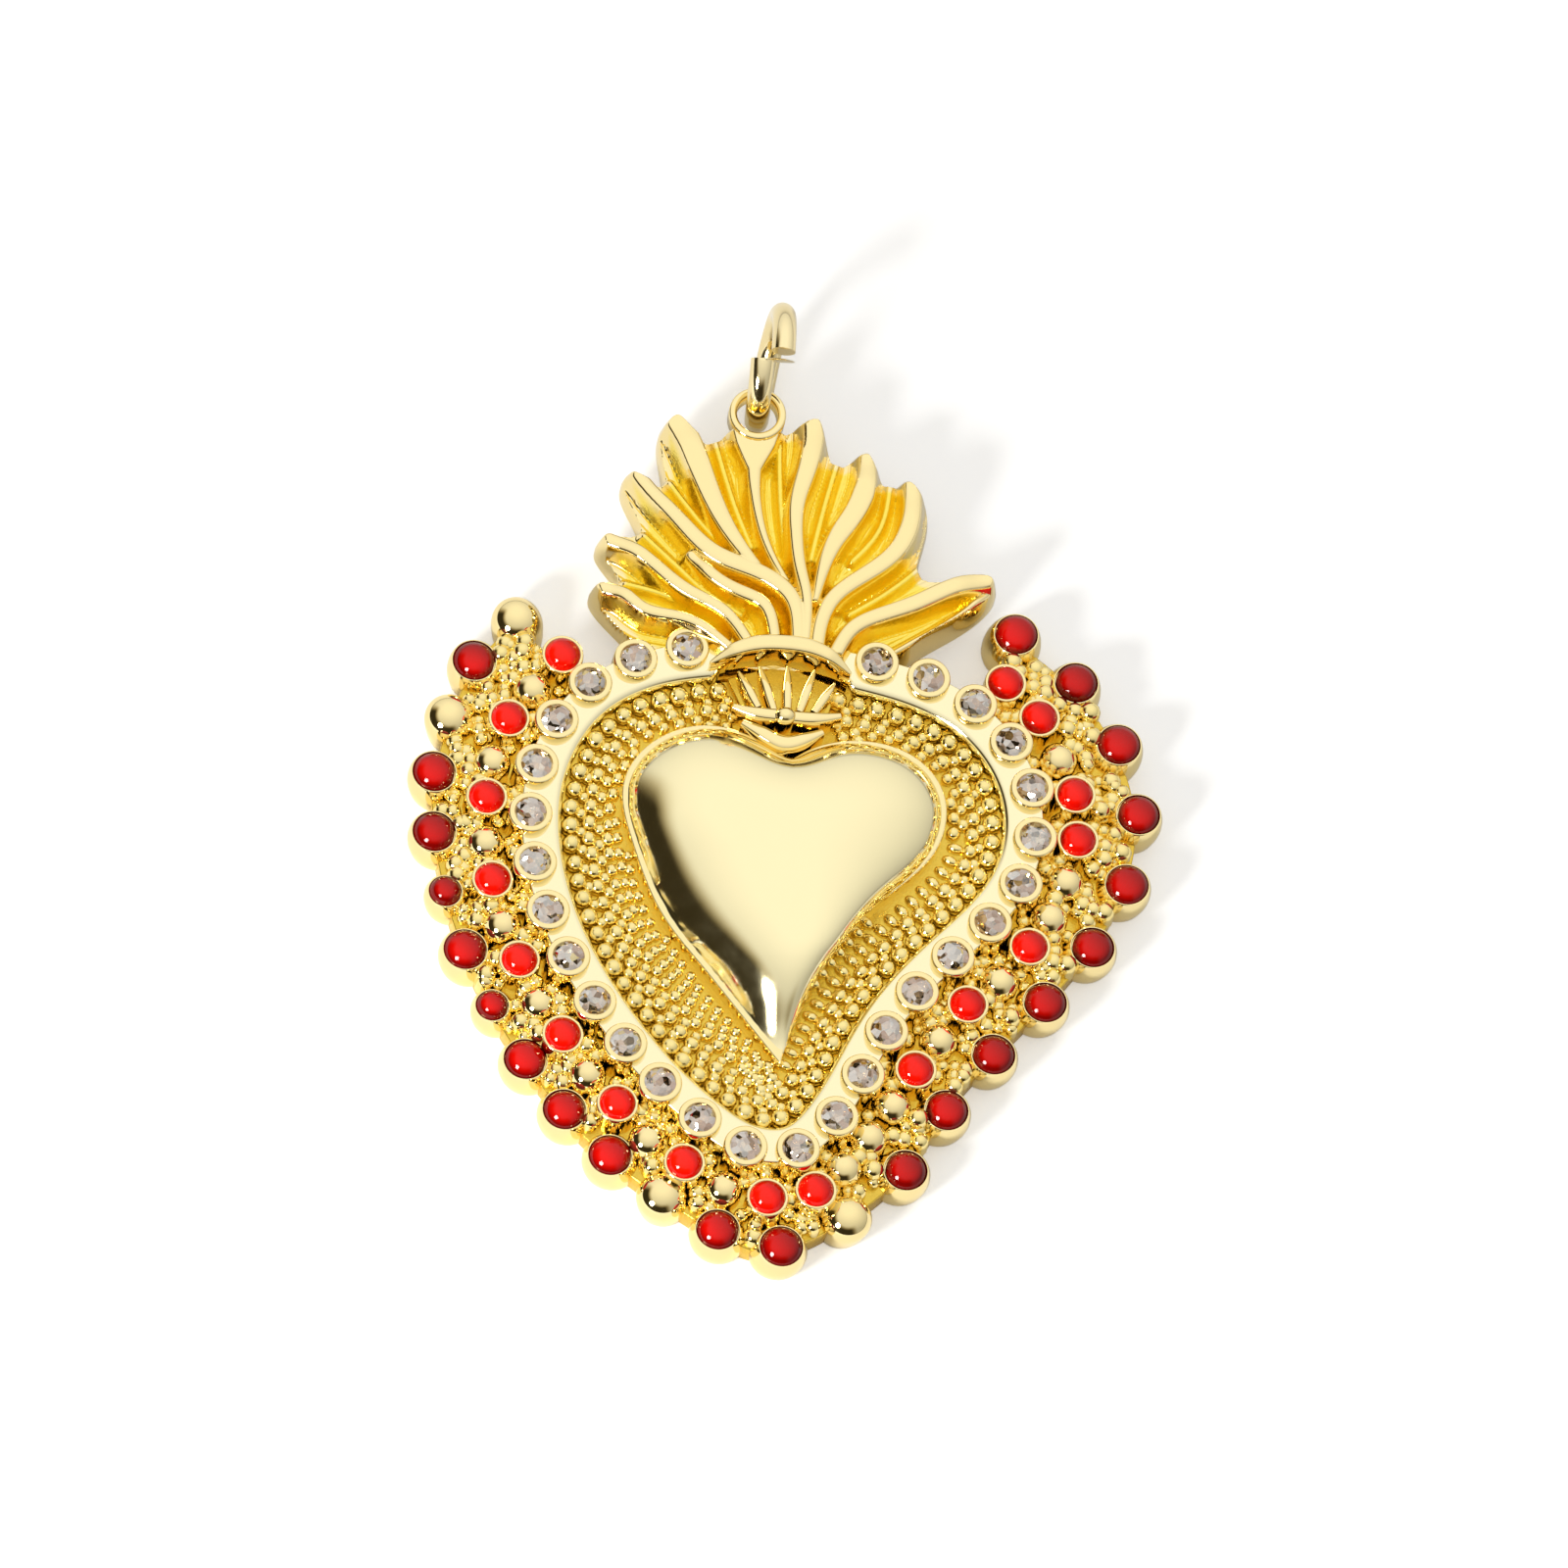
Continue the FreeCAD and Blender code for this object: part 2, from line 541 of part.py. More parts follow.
INNER_FORMS = {"r": inner_cup(), "b": inner_ball()}
OUTER_FORMS = {"r": outer_cup(size("outer_cup_belly"), size("outer_cup_rim")),
               "s": outer_cup(size("small_cup_belly"), size("small_cup_rim")),
               "b": outer_ball()}
stone_spots = [facing(place) for place in stone_places]
inner_spots = [facing(place) for place in inner_places]
drop_spots = [facing(place) for place in outer_places]
foot_spots = [facing((point - out * size("outer_lean"), out)) for point, out in outer_places]
raised = [placed(bezel(), seat) for seat in stone_spots]
raised += [placed(INNER_FORMS[kind], seat) for kind, seat in zip(inner_kinds, inner_spots)]
raised += [placed(OUTER_FORMS[kind], seat) for kind, seat in zip(outer_kinds, foot_spots)]

OUTER_DROPS = {"r": size("outer_drop"), "s": size("small_drop")}
seats = [placed(stone_seat(), seat) for seat in stone_spots]
for kind, seat in zip(inner_kinds, inner_spots):
    if kind == "r":
        seats.append(placed(recess(size("inner_drop"), size("inner_cup_height")), seat))
for kind, seat in zip(outer_kinds, drop_spots):
    if kind in OUTER_DROPS:
        seats.append(placed(recess(OUTER_DROPS[kind], size("outer_cup_height")), seat))


def curved_band():
    """Lens-shaped band that crowns the heart, between two arcs with common ends."""
    left, right = spot(BAND_ENDS[0]), spot(BAND_ENDS[1])
    crown = spot(BAND_MIDDLE)
    under = crown - Vector(0, size("band_width"), 0)
    face = Part.Face(Part.Wire([Part.Arc(left, crown, right).toShape(),
                                Part.Arc(right, under, left).toShape()]))
    face.translate(UP * (size("channel_floor") / 2))
    return face.extrude(UP * (size("band_height") - size("channel_floor") / 2))


def fan():
    """Rays between the band and the cross bar, on a bed of their own."""
    foot = size("channel_floor") / 2
    corners = [spot(FAN_RAYS[0][0]), spot(FAN_RAYS[2][0]), spot(FAN_RAYS[-1][0]),
               spot(FAN_RAYS[-1][1]), spot(FAN_RAYS[0][1])]
    pieces = [facet([corner + UP * foot for corner in corners]).extrude(UP * (size("fan_bed") - foot))]
    for top, bottom in FAN_RAYS:
        pieces.append(bar([spot(top), spot(bottom)], size("fan_ray_width"), foot, size("fan_height")))
    return pieces


def cross_and_collar():
    """Cross bar with its knob, and the collar that sits in the notch of the heart."""
    foot = size("channel_floor") / 2
    pieces = [bar([spot(place) for place in CROSS_BAR], size("bar_width"), foot, size("cross_height")),
              bar([spot(place) for place in COLLAR], size("bar_width"), foot, size("collar_height"))]
    radius = size("knob_diameter") / 2
    top = size("cross_height") + size("knob_rise")
    knob = turned([(radius, foot), (radius, top - size("knob_rise")), (radius * KNOB_TOP_SHARE, top)])
    pieces.append(placed(knob, FreeCAD.Placement(spot(CROSS_BAR[1]), FreeCAD.Rotation())))
    return pieces


raised.append(curved_band())
raised += fan()
raised += cross_and_collar()

# Flame: a plate with a scalloped edge, main ribs and fine ribs between them
flame_wire = Part.makePolygon([spot(place) for place in FLAME_EDGE + FLAME_EDGE[:1]])
flame_plate = extruded("flame_plate", flame_wire, "sizes.flame_underside", "sizes.flame_valley")
for name, places in MAIN_RIBS.items():
    raised.append(rib(places, RIB_WIDTHS[name], "rib", size("flame_crest")))
for places in FINE_RIBS:
    raised.append(rib(places, FINE_RIB_WIDTHS, "fine_rib", size("fine_rib_height")))

# Eyelet: its middle is level with the ring that hangs in it
eyelet_centre = spot(EYELET_CENTRE)
eyelet = doc.addObject("Part::Cylinder", "eyelet_boss")
eyelet.setExpression("Radius", "sizes.eyelet_hole / 2 + sizes.eyelet_wall")
eyelet.setExpression("Height", "sizes.eyelet_thickness")
eyelet.setExpression("Placement.Base.z", "sizes.ring_diameter / 2 - sizes.eyelet_thickness / 2")
eyelet.setExpression("Placement.Base.x", f"sizes.outline_unit * ({EYELET_CENTRE[0]})")
eyelet.setExpression("Placement.Base.y", f"sizes.outline_unit * ({EYELET_CENTRE[1]})")
hole = doc.addObject("Part::Cylinder", "eyelet_bore")
hole.setExpression("Radius", "sizes.eyelet_hole / 2")
hole.setExpression("Height", "sizes.ring_diameter")
hole.setExpression("Placement.Base.x", "eyelet_boss.Placement.Base.x")
hole.setExpression("Placement.Base.y", "eyelet_boss.Placement.Base.y")
doc.recompute()

# The casting: everything raised is fused to the plates, then the seats and the hole are cut
solid = row_plate.Shape.multiFuse([border.Shape, flange.Shape, dome.Shape, flame_plate.Shape,
                                   eyelet.Shape] + raised)
solid = solid.cut(Part.makeCompound(seats + [hole.Shape])).removeSplitter()
casting = part_feature("pendant_casting", solid.Solids[0] if len(solid.Solids) == 1 else solid)
sub_parts = [casting]

# Clear stones, one node each
for number, seat in enumerate(stone_spots, start=1):
    sub_parts.append(part_feature(f"clear_stone_{number:02d}", brilliant(), seat))

# Enamel drops: one node each in the outer row, one node for each half of the inner row
number = 0
for kind, seat in zip(outer_kinds, drop_spots):
    if kind in OUTER_DROPS:
        number += 1
        shape = drop(OUTER_DROPS[kind], size("outer_cup_height"))
        sub_parts.append(part_feature(f"outer_drop_{number:02d}", shape, seat))
halves = {"inner_drops_left": [], "inner_drops_right": []}
for kind, seat in zip(inner_kinds, inner_spots):
    if kind == "r":
        half = "inner_drops_left" if seat.Base.x < 0 else "inner_drops_right"
        halves[half].append(placed(drop(size("inner_drop"), size("inner_cup_height")), seat))
for name, shapes in halves.items():
    sub_parts.append(part_feature(name, Part.makeCompound(shapes)))

# Jump ring, hung on the wall of the eyelet
hang_way = Vector(math.sin(math.radians(size("ring_turn"))), math.cos(math.radians(size("ring_turn"))), 0)
wall_middle = eyelet_centre + hang_way * ((size("eyelet_hole") + size("eyelet_wall")) / 2)
wall_middle.z = size("ring_diameter") / 2
corner_reach = math.hypot(size("eyelet_wall") / 2, size("eyelet_thickness") / 2) + size("ring_play")
corner_turn = math.atan2(size("eyelet_thickness"), size("eyelet_wall")) - math.radians(size("ring_swing"))
ring_inside = size("ring_diameter") / 2 - size("ring_wire")
hang = (math.sqrt(ring_inside ** 2 - (corner_reach * math.sin(corner_turn)) ** 2)
        - corner_reach * math.cos(corner_turn))
ring_centre = wall_middle + hang_way * hang
hung = FreeCAD.Placement(ring_centre, FreeCAD.Rotation(UP, -size("ring_turn")))
sub_parts.append(part_feature("jump_ring", jump_ring(), hung))
print("ring hinge", wall_middle, "ring centre", ring_centre)

doc.recompute()
for item in doc.Objects:
    if "Invalid" in item.State or "Error" in item.State:
        raise RuntimeError(f"{item.Label} did not build: {item.State}")
for item in sub_parts:
    if item.Shape.isNull() or not item.Shape.isValid():
        raise RuntimeError(f"{item.Label} has no valid shape")
    item.Shape.exportStep(f"parts/{item.Label}.step")
print(len(sub_parts), "nodes,", len(casting.Shape.Solids), "solid in the casting")
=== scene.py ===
# %% [markdown]
# # A gold sacred heart pendant
# The real pendant is one gold-plated casting. It carries a puffed heart in a granulated
# channel, a border of clear stones in bezels, two rows of red enamel drops in little cups,
# a flame with grooved tongues, and a jump ring of bent wire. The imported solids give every
# place and size. Here each part of the casting gets its true curves and finish.

# %% Load the frame
import math

import bpy
import numpy as np
from mathutils import Matrix, Vector
from mathutils.geometry import delaunay_2d_cdt


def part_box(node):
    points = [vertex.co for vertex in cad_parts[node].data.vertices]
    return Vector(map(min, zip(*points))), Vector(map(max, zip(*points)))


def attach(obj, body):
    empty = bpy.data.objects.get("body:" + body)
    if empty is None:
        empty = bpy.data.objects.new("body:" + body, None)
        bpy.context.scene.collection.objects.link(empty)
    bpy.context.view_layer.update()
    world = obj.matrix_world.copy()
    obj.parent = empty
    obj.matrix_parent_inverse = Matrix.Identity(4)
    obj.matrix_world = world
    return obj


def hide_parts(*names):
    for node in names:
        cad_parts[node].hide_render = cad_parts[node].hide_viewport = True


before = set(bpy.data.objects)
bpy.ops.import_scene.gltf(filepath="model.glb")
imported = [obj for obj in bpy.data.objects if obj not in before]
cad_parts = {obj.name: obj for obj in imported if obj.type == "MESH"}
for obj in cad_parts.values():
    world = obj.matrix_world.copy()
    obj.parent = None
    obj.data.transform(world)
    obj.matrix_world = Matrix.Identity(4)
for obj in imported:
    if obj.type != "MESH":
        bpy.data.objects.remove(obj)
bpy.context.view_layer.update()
MM = 0.001

# %% [markdown]
# ## Small helpers
# Everything is modelled in millimetres, because rounded numbers are easier to read, and
# each finished mesh is scaled to metres once. Blender's operators act on all that is
# selected, so every step starts by selecting only the object that it works on.

# %% Select, finish and copy
def only(piece):
    """Select one object and make it the active one."""
    bpy.ops.object.select_all(action="DESELECT")
    piece.select_set(True)
    bpy.context.view_layer.objects.active = piece
    return piece


def finish_piece(piece, name, material, body="pendant", smooth_angle=40.0):
    """Name a finished piece, shade it, scale its mesh to metres and let it ride on its body."""
    only(piece)
    bpy.ops.object.transform_apply(location=True, rotation=True, scale=True)
    bpy.ops.object.shade_smooth_by_angle(angle=math.radians(smooth_angle))
    piece.name = name
    piece.data.name = name
    piece.data.transform(Matrix.Scale(MM, 4))
    piece.data.materials.clear()
    piece.data.materials.append(material)
    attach(piece, body)
    print(name, len(piece.data.polygons), "faces")
    return piece


def new_mesh(name, points, faces):
    """Mesh object from points and faces."""
    mesh = bpy.data.meshes.new(name)
    mesh.from_pydata([tuple(point) for point in points], [], faces)
    piece = bpy.data.objects.new(name, mesh)
    bpy.context.scene.collection.objects.link(piece)
    return only(piece)


def ring_faces(rings, count, closed=False):
    """Faces between rings of points; if closed, the last ring is joined to the first one."""
    faces = []
    for ring in range(rings if closed else rings - 1):
        upper = (ring + 1) % rings
        for n in range(count):
            after = (n + 1) % count
            faces.append([ring * count + n, ring * count + after, upper * count + after, upper * count + n])
    return faces


def joined(pieces):
    """One object from several."""
    only(pieces[0])
    for piece in pieces:
        piece.select_set(True)
    bpy.ops.object.join()
    return pieces[0]


def copies(model, places):
    """One joined object from a model repeated at each place, every copy with its own mesh."""
    made = []
    for place in places:
        copy = model.copy()
        copy.data = model.data.copy()
        copy.data.transform(place)
        bpy.context.scene.collection.objects.link(copy)
        made.append(copy)
    bpy.data.objects.remove(model)
    return joined(made)


def point_outwards(piece):
    """Merge doubles and turn every face of a closed shell outwards."""
    only(piece)
    bpy.ops.object.mode_set(mode="EDIT")
    bpy.ops.mesh.select_all(action="SELECT")
    bpy.ops.mesh.remove_doubles(threshold=0.0005)
    bpy.ops.mesh.normals_make_consistent(inside=False)
    bpy.ops.object.mode_set(mode="OBJECT")
    return piece


# %% [markdown]
# Most of the small parts are turned. One point is extruded along half of the section, as a
# turner would draw it, and the line is spun once round.

# %% Turned forms and round profiles
def lathe(name, profile, steps=32):
    """Turned form: a point is extruded along a half profile of radius and height, then spun."""
    bpy.ops.object.select_all(action="DESELECT")
    bpy.ops.mesh.primitive_plane_add(size=0.1)
    piece = bpy.context.object
    piece.name = name
    bpy.ops.object.mode_set(mode="EDIT")
    bpy.ops.mesh.select_mode(type="VERT")
    bpy.ops.mesh.select_all(action="SELECT")
    bpy.ops.mesh.merge(type="CENTER")
    bpy.ops.transform.translate(value=(profile[0][0], 0, profile[0][1]))
    for (radius, height), (next_radius, next_height) in zip(profile, profile[1:]):
        bpy.ops.mesh.extrude_vertices_move(
            TRANSFORM_OT_translate={"value": (next_radius - radius, 0, next_height - height)})
    bpy.ops.mesh.select_all(action="SELECT")
    bpy.ops.mesh.spin(steps=steps, angle=2 * math.pi, center=(0, 0, 0), axis=(0, 0, 1))
    bpy.ops.object.mode_set(mode="OBJECT")
    return point_outwards(piece)


def arc(centre, radius, start, end, count):
    """Points of a round stretch of a profile, angles in degrees from the radial direction."""
    angles = [math.radians(start + (end - start) * n / count) for n in range(count + 1)]
    return [(centre[0] + radius * math.cos(a), centre[1] + radius * math.sin(a)) for a in angles]


# %% [markdown]
# ## Camera, floor and light
# The pendant lies on white paper and is seen from its tip end, about 65 degrees above the
# paper. Polished gold has little colour of its own: it shows its surroundings. So the
# surroundings are white above and behind, dimmer lower down, and dark low down on the
# viewer's left, where one soft round lamp stands. The dark part draws the fine black lines
# and the dark flank of the heart.

# %% Camera
PHOTO_WIDTH = 1600
PIXELS_PER_MM = 27.5
ORIGIN_PIXEL = (801.0, 905.0)
VIEW_BACK = Vector((-0.1, -0.4226, 0.9008)).normalized()
CAMERA_DISTANCE = 1200.0
VIEW_SPAN = PHOTO_WIDTH / PIXELS_PER_MM

view_right = Vector((0, 1, 0)).cross(VIEW_BACK).normalized()
view_up = VIEW_BACK.cross(view_right)
aim = (view_right * ((PHOTO_WIDTH / 2 - ORIGIN_PIXEL[0]) / PIXELS_PER_MM)
       + view_up * ((ORIGIN_PIXEL[1] - PHOTO_WIDTH / 2) / PIXELS_PER_MM))
camera_data = bpy.data.cameras.new("camera")
camera = bpy.data.objects.new("camera", camera_data)
bpy.context.scene.collection.objects.link(camera)
bpy.context.scene.camera = camera
camera_data.lens = camera_data.sensor_width * CAMERA_DISTANCE / VIEW_SPAN
camera_data.clip_start = 0.01
camera_data.clip_end = 10.0
camera.matrix_world = Matrix.Translation((aim + VIEW_BACK * CAMERA_DISTANCE) * MM) @ Matrix(
    (view_right, view_up, VIEW_BACK)).transposed().to_4x4()
print("camera lens", round(camera_data.lens, 1), "mm")

# %% [markdown]
# People write colours as sRGB hex values and the renderer needs linear ones, so one function
# turns them. Another adds a node, sets its sockets and links it, and a third starts a
# material from the Principled shader, which nearly every finish here can use.

# %% Colour, node and material helpers
WHITE = (1.0, 1.0, 1.0, 1.0)


def linear(code):
    """Linear colour of an sRGB hex code."""
    channels = [int(code[place:place + 2], 16) / 255 for place in (1, 3, 5)]
    return [c / 12.92 if c <= 0.04045 else ((c + 0.055) / 1.055) ** 2.4 for c in channels] + [1.0]


def add_node(tree, kind, settings=None, links=None, **attributes):
    """Add a node: attributes by name, socket values in settings, incoming links in links."""
    node = tree.nodes.new(kind)
    for key, value in attributes.items():
        setattr(node, key, value)
    for key, value in (settings or {}).items():
        node.inputs[key].default_value = value
    for key, socket in (links or {}).items():
        tree.links.new(socket, node.inputs[key])
    return node


def new_material(name, settings):
    """Material whose Principled shader has the given socket values, with its tree and shader."""
    material = bpy.data.materials.new(name)
    material.use_nodes = True
    shader = material.node_tree.nodes["Principled BSDF"]
    for key, value in settings.items():
        shader.inputs[key].default_value = value
    return material, material.node_tree, shader


# %% [markdown]
# The surroundings are one level of white light that depends on the direction. It grows from
# the horizon towards the bright side, drops to a skirting just above the paper, and gives
# way to the dark part at the lower left, where the little light that is left is warm. Rough
# surfaces gather light from all sides, so they get one even level, and the camera sees
# plain white wherever it looks past the paper.

# %% Surroundings
BRIGHT_WAY = Vector((0.0, 0.52, 1.0)).normalized()
SKY_SPAN = 0.95
SKY_LEVELS = (0.5, 1.08)
SKIRTING_TOP = 0.07
SKIRTING_LEVEL = 0.45
DARK_WAY = Vector((-0.75, -0.66, 0.0)).normalized()
DARK_SIDES = (-0.1, 0.4)
DARK_HEIGHTS = (0.74, 0.44)
DARK_LEVEL = 0.035
DARK_COLOUR = (1.0, 0.8, 0.42, 1.0)
EVEN_LEVEL = 0.55

bpy.context.scene.view_settings.view_transform = "Standard"
world = bpy.data.worlds.new("white_studio")
bpy.context.scene.world = world
world.use_nodes = True
tree = world.node_tree
tree.nodes.clear()
direction = add_node(tree, "ShaderNodeTexCoord")
split = add_node(tree, "ShaderNodeSeparateXYZ", links={0: direction.outputs["Generated"]})
toward = add_node(tree, "ShaderNodeVectorMath", operation="DOT_PRODUCT", settings={1: DARK_WAY},
                  links={0: direction.outputs["Generated"]})
side = add_node(tree, "ShaderNodeMapRange", interpolation_type="SMOOTHSTEP",
                settings={"From Min": DARK_SIDES[0], "From Max": DARK_SIDES[1]},
                links={"Value": toward.outputs["Value"]})
low = add_node(tree, "ShaderNodeMapRange", interpolation_type="SMOOTHSTEP",
               settings={"From Min": DARK_HEIGHTS[0], "From Max": DARK_HEIGHTS[1]},
               links={"Value": split.outputs["Z"]})
dark = add_node(tree, "ShaderNodeMath", operation="MULTIPLY",
                links={0: side.outputs[0], 1: low.outputs[0]})
height = add_node(tree, "ShaderNodeVectorMath", operation="DOT_PRODUCT", settings={1: BRIGHT_WAY},
                  links={0: direction.outputs["Generated"]})
sky = add_node(tree, "ShaderNodeMapRange",
               settings={"From Min": 0.0, "From Max": SKY_SPAN, "To Min": SKY_LEVELS[0],
                         "To Max": SKY_LEVELS[1]}, links={"Value": height.outputs["Value"]})
skirting = add_node(tree, "ShaderNodeMapRange", interpolation_type="SMOOTHSTEP",
                    settings={"From Min": 0.0, "From Max": SKIRTING_TOP, "To Min": SKIRTING_LEVEL,
                              "To Max": 1.0}, links={"Value": split.outputs["Z"]})
wall = add_node(tree, "ShaderNodeMath", operation="MULTIPLY",
                links={0: sky.outputs[0], 1: skirting.outputs[0]})
room = add_node(tree, "ShaderNodeMix", data_type="FLOAT", settings={3: DARK_LEVEL},
                links={"Factor": dark.outputs[0], 2: wall.outputs[0]})
path = add_node(tree, "ShaderNodeLightPath")
level = add_node(tree, "ShaderNodeMix", data_type="FLOAT", settings={3: EVEN_LEVEL},
                 links={"Factor": path.outputs["Is Diffuse Ray"], 2: room.outputs[0]})
seen = add_node(tree, "ShaderNodeMix", data_type="FLOAT", settings={3: 1.0},
                links={"Factor": path.outputs["Is Camera Ray"], 2: level.outputs[0]})
hue = add_node(tree, "ShaderNodeMix", data_type="RGBA", settings={6: WHITE, 7: DARK_COLOUR},
               links={"Factor": dark.outputs[0]})
background = add_node(tree, "ShaderNodeBackground",
                      links={"Color": hue.outputs[2], "Strength": seen.outputs[0]})
add_node(tree, "ShaderNodeOutputWorld", links={"Surface": background.outputs[0]})
print("surroundings: levels", SKY_LEVELS, "dark part", DARK_LEVEL)

# %% Lamp
LAMP_WAY = Vector((-0.64, -0.6, 0.46)).normalized()
LAMP_DISTANCE = 150.0
LAMP_WIDTH = 48.0
LAMP_RADIANCE = 41.0
lamp_data = bpy.data.lights.new("soft_lamp", "AREA")
lamp_data.shape = "DISK"
lamp_data.size = LAMP_WIDTH * MM
lamp_area = math.pi * (LAMP_WIDTH * MM / 2) ** 2
lamp_data.energy = LAMP_RADIANCE * math.pi * lamp_area
lamp = bpy.data.objects.new("soft_lamp", lamp_data)
bpy.context.scene.collection.objects.link(lamp)
lamp.location = LAMP_WAY * LAMP_DISTANCE * MM
lamp.rotation_mode = "QUATERNION"
lamp.rotation_quaternion = LAMP_WAY.to_track_quat("Z", "Y")
print("lamp", round(lamp_data.energy, 4), "W")

# %% [markdown]
# The paper is matt and white. It scatters the light that reaches it, so it takes a soft
# shadow, and it glows a little by itself for rays that see it directly, because the
# photograph is exposed until the paper is blank. The gold mirrors only a share of that
# glow, or the cups' walls would be as blank as the paper.

# %% White paper floor
FLOOR_HALF = 1500.0
PAPER_WHITE = (0.93, 0.93, 0.93, 1.0)
PAPER_LIFT = 0.36
MIRRORED_SHARE = 0.1
bpy.ops.object.select_all(action="DESELECT")
bpy.ops.mesh.primitive_grid_add(x_subdivisions=8, y_subdivisions=8, size=2)
floor = bpy.context.object
floor.name = "paper_floor"
floor.data.transform(Matrix.Scale(FLOOR_HALF * MM, 4))
paper = bpy.data.materials.new("matt_white_paper")
paper.use_nodes = True
tree = paper.node_tree
tree.nodes.clear()
matt = add_node(tree, "ShaderNodeBsdfDiffuse", settings={"Color": PAPER_WHITE})
path = add_node(tree, "ShaderNodeLightPath")
mirrored = add_node(tree, "ShaderNodeMath", operation="MULTIPLY", settings={1: MIRRORED_SHARE},
                    links={0: path.outputs["Is Glossy Ray"]})
direct = add_node(tree, "ShaderNodeMath", operation="MAXIMUM",
                  links={0: mirrored.outputs[0], 1: path.outputs["Is Camera Ray"]})
lit = add_node(tree, "ShaderNodeMath", operation="MAXIMUM",
               links={0: direct.outputs[0], 1: path.outputs["Is Transmission Ray"]})
lift = add_node(tree, "ShaderNodeMath", operation="MULTIPLY", settings={1: PAPER_LIFT},
                links={0: lit.outputs[0]})
glow = add_node(tree, "ShaderNodeEmission", settings={"Color": WHITE}, links={"Strength": lift.outputs[0]})
both = add_node(tree, "ShaderNodeAddShader", links={0: matt.outputs[0], 1: glow.outputs[0]})
add_node(tree, "ShaderNodeOutputMaterial", links={"Surface": both.outputs[0]})
floor.data.materials.append(paper)
print("paper floor:", 2 * FLOOR_HALF, "mm wide")

# %% [markdown]
# ## Finishes
# The casting is brass, polished where a mop can reach and left as cast in the grooves, then
# plated with pale gold. Polished gold reflects sharply, and it warms each time the light
# bounces, which is part of why hollows look deep yellow. The floors between cups and beads
# also have painted shade in their colour.

# %% Gold finishes
POLISH_COLOUR = "#FBE6A8"
POLISH_ROUGHNESS = 0.065
GLOSS_DRIFT = 0.25
BUMP_STRENGTH = 0.5
CARVED_BUMPS = (0.6, 0.02)


def gold(name, colour, roughness, grain_mm, grain_height, wear=0.0, polished_by=None):
    """Plated gold with fine grain; where the named attribute is 1, the mop has polished it."""
    material, tree, shader = new_material(name, {"Metallic": 1.0})
    place = add_node(tree, "ShaderNodeTexCoord")
    grain = add_node(tree, "ShaderNodeTexNoise",
                     settings={"Scale": 1 / (grain_mm * MM), "Detail": 3.0, "Roughness": 0.55},
                     links={"Vector": place.outputs["Object"]})
    gloss = add_node(tree, "ShaderNodeMapRange",
                     settings={"From Min": 0.3, "From Max": 0.7, "To Min": roughness * (1 - GLOSS_DRIFT),
                               "To Max": roughness * (1 + GLOSS_DRIFT)},
                     links={"Value": grain.outputs["Fac"]})
    worn = [c * (1.0 - wear) for c in linear(colour)[:3]] + [1.0]
    tint = add_node(tree, "ShaderNodeMix", data_type="RGBA", settings={6: linear(colour), 7: worn},
                    links={"Factor": grain.outputs["Fac"]})
    bump = add_node(tree, "ShaderNodeBump",
                    settings={"Strength": BUMP_STRENGTH, "Distance": grain_height * MM},
                    links={"Height": grain.outputs["Fac"]})
    if polished_by:
        polish = add_node(tree, "ShaderNodeAttribute", attribute_name=polished_by)
        gloss = add_node(tree, "ShaderNodeMix", data_type="FLOAT", settings={3: POLISH_ROUGHNESS},
                         links={"Factor": polish.outputs["Fac"], 2: gloss.outputs[0]})
        tint = add_node(tree, "ShaderNodeMix", data_type="RGBA", settings={7: linear(POLISH_COLOUR)},
                        links={"Factor": polish.outputs["Fac"], 6: tint.outputs[2]})
        rough = add_node(tree, "ShaderNodeMapRange",
                         settings={"To Min": CARVED_BUMPS[0], "To Max": CARVED_BUMPS[1]},
                         links={"Value": polish.outputs["Fac"]})
        tree.links.new(rough.outputs[0], bump.inputs["Strength"])
    tree.links.new(gloss.outputs[0], shader.inputs["Roughness"])
    tree.links.new(tint.outputs[2], shader.inputs["Base Color"])
    tree.links.new(bump.outputs[0], shader.inputs["Normal"])
    return material


# A mop leaves a mirror with a slight haze, so polished gold is sharp but not perfect.
polished_gold = gold("polished_gold_plate_on_brass", POLISH_COLOUR, POLISH_ROUGHNESS, 0.6, 0.0015)
# Barrel tumbling softens the flat border and its edges a little.
border_gold = gold("tumbled_gold_plate_on_brass", "#FCF0C2", 0.09, 0.35, 0.003)
# The floors between cups and beads are painted a darker, deeper gold as painted shade for the gaps.
painted_shade_recess_gold = gold("gold_plate_with_painted_shade_in_recesses", "#EBC650", 0.2, 0.12, 0.03, wear=0.2)
# The flame is as cast in its grooves and mirror bright on its crests.
flame_gold = gold("carved_gold_plate_on_brass", "#FFE566", 0.2, 0.16, 0.03, wear=0.06, polished_by="polish")
# The heart is the largest smooth face. It was mopped the longest and is paler and softer.
heart_gold = gold("mopped_pale_gold_plate", "#FCEFBE", 0.1, 0.7, 0.001)
# The lumps and beads are bright from the mould. The darker gold in their gaps is the painted shade of the
# floors.
bead_gold = gold("bright_cast_gold_plate", "#FDE79C", 0.09, 0.15, 0.008, wear=0.05)
# Drawn wire keeps faint lines from the die and is otherwise bright.
wire_gold = gold("drawn_wire_gold_plate", "#FAE8B4", 0.11, 0.4, 0.0015)
print("gold finishes:", [material.name for material in bpy.data.materials if "gold" in material.name])

# %% [markdown]
# The enamel is cold enamel, a clear red resin that sets with a glossy skin. Its red is
# painted deeper towards the rim and brighter on top, painted shade that follows the slope
# of the surface. The outer drops are darker than the inner ones. The skin is a coat, which
# gives the small white dot without greying the red under it.

# %% Enamel
# Slopes of the surface over which the painted rim shade sets in.
RIM_SHADE_SLOPES = (0.92, 0.45)
CLOUD_MM = 5.0
CLOUD_SHARE = 0.45


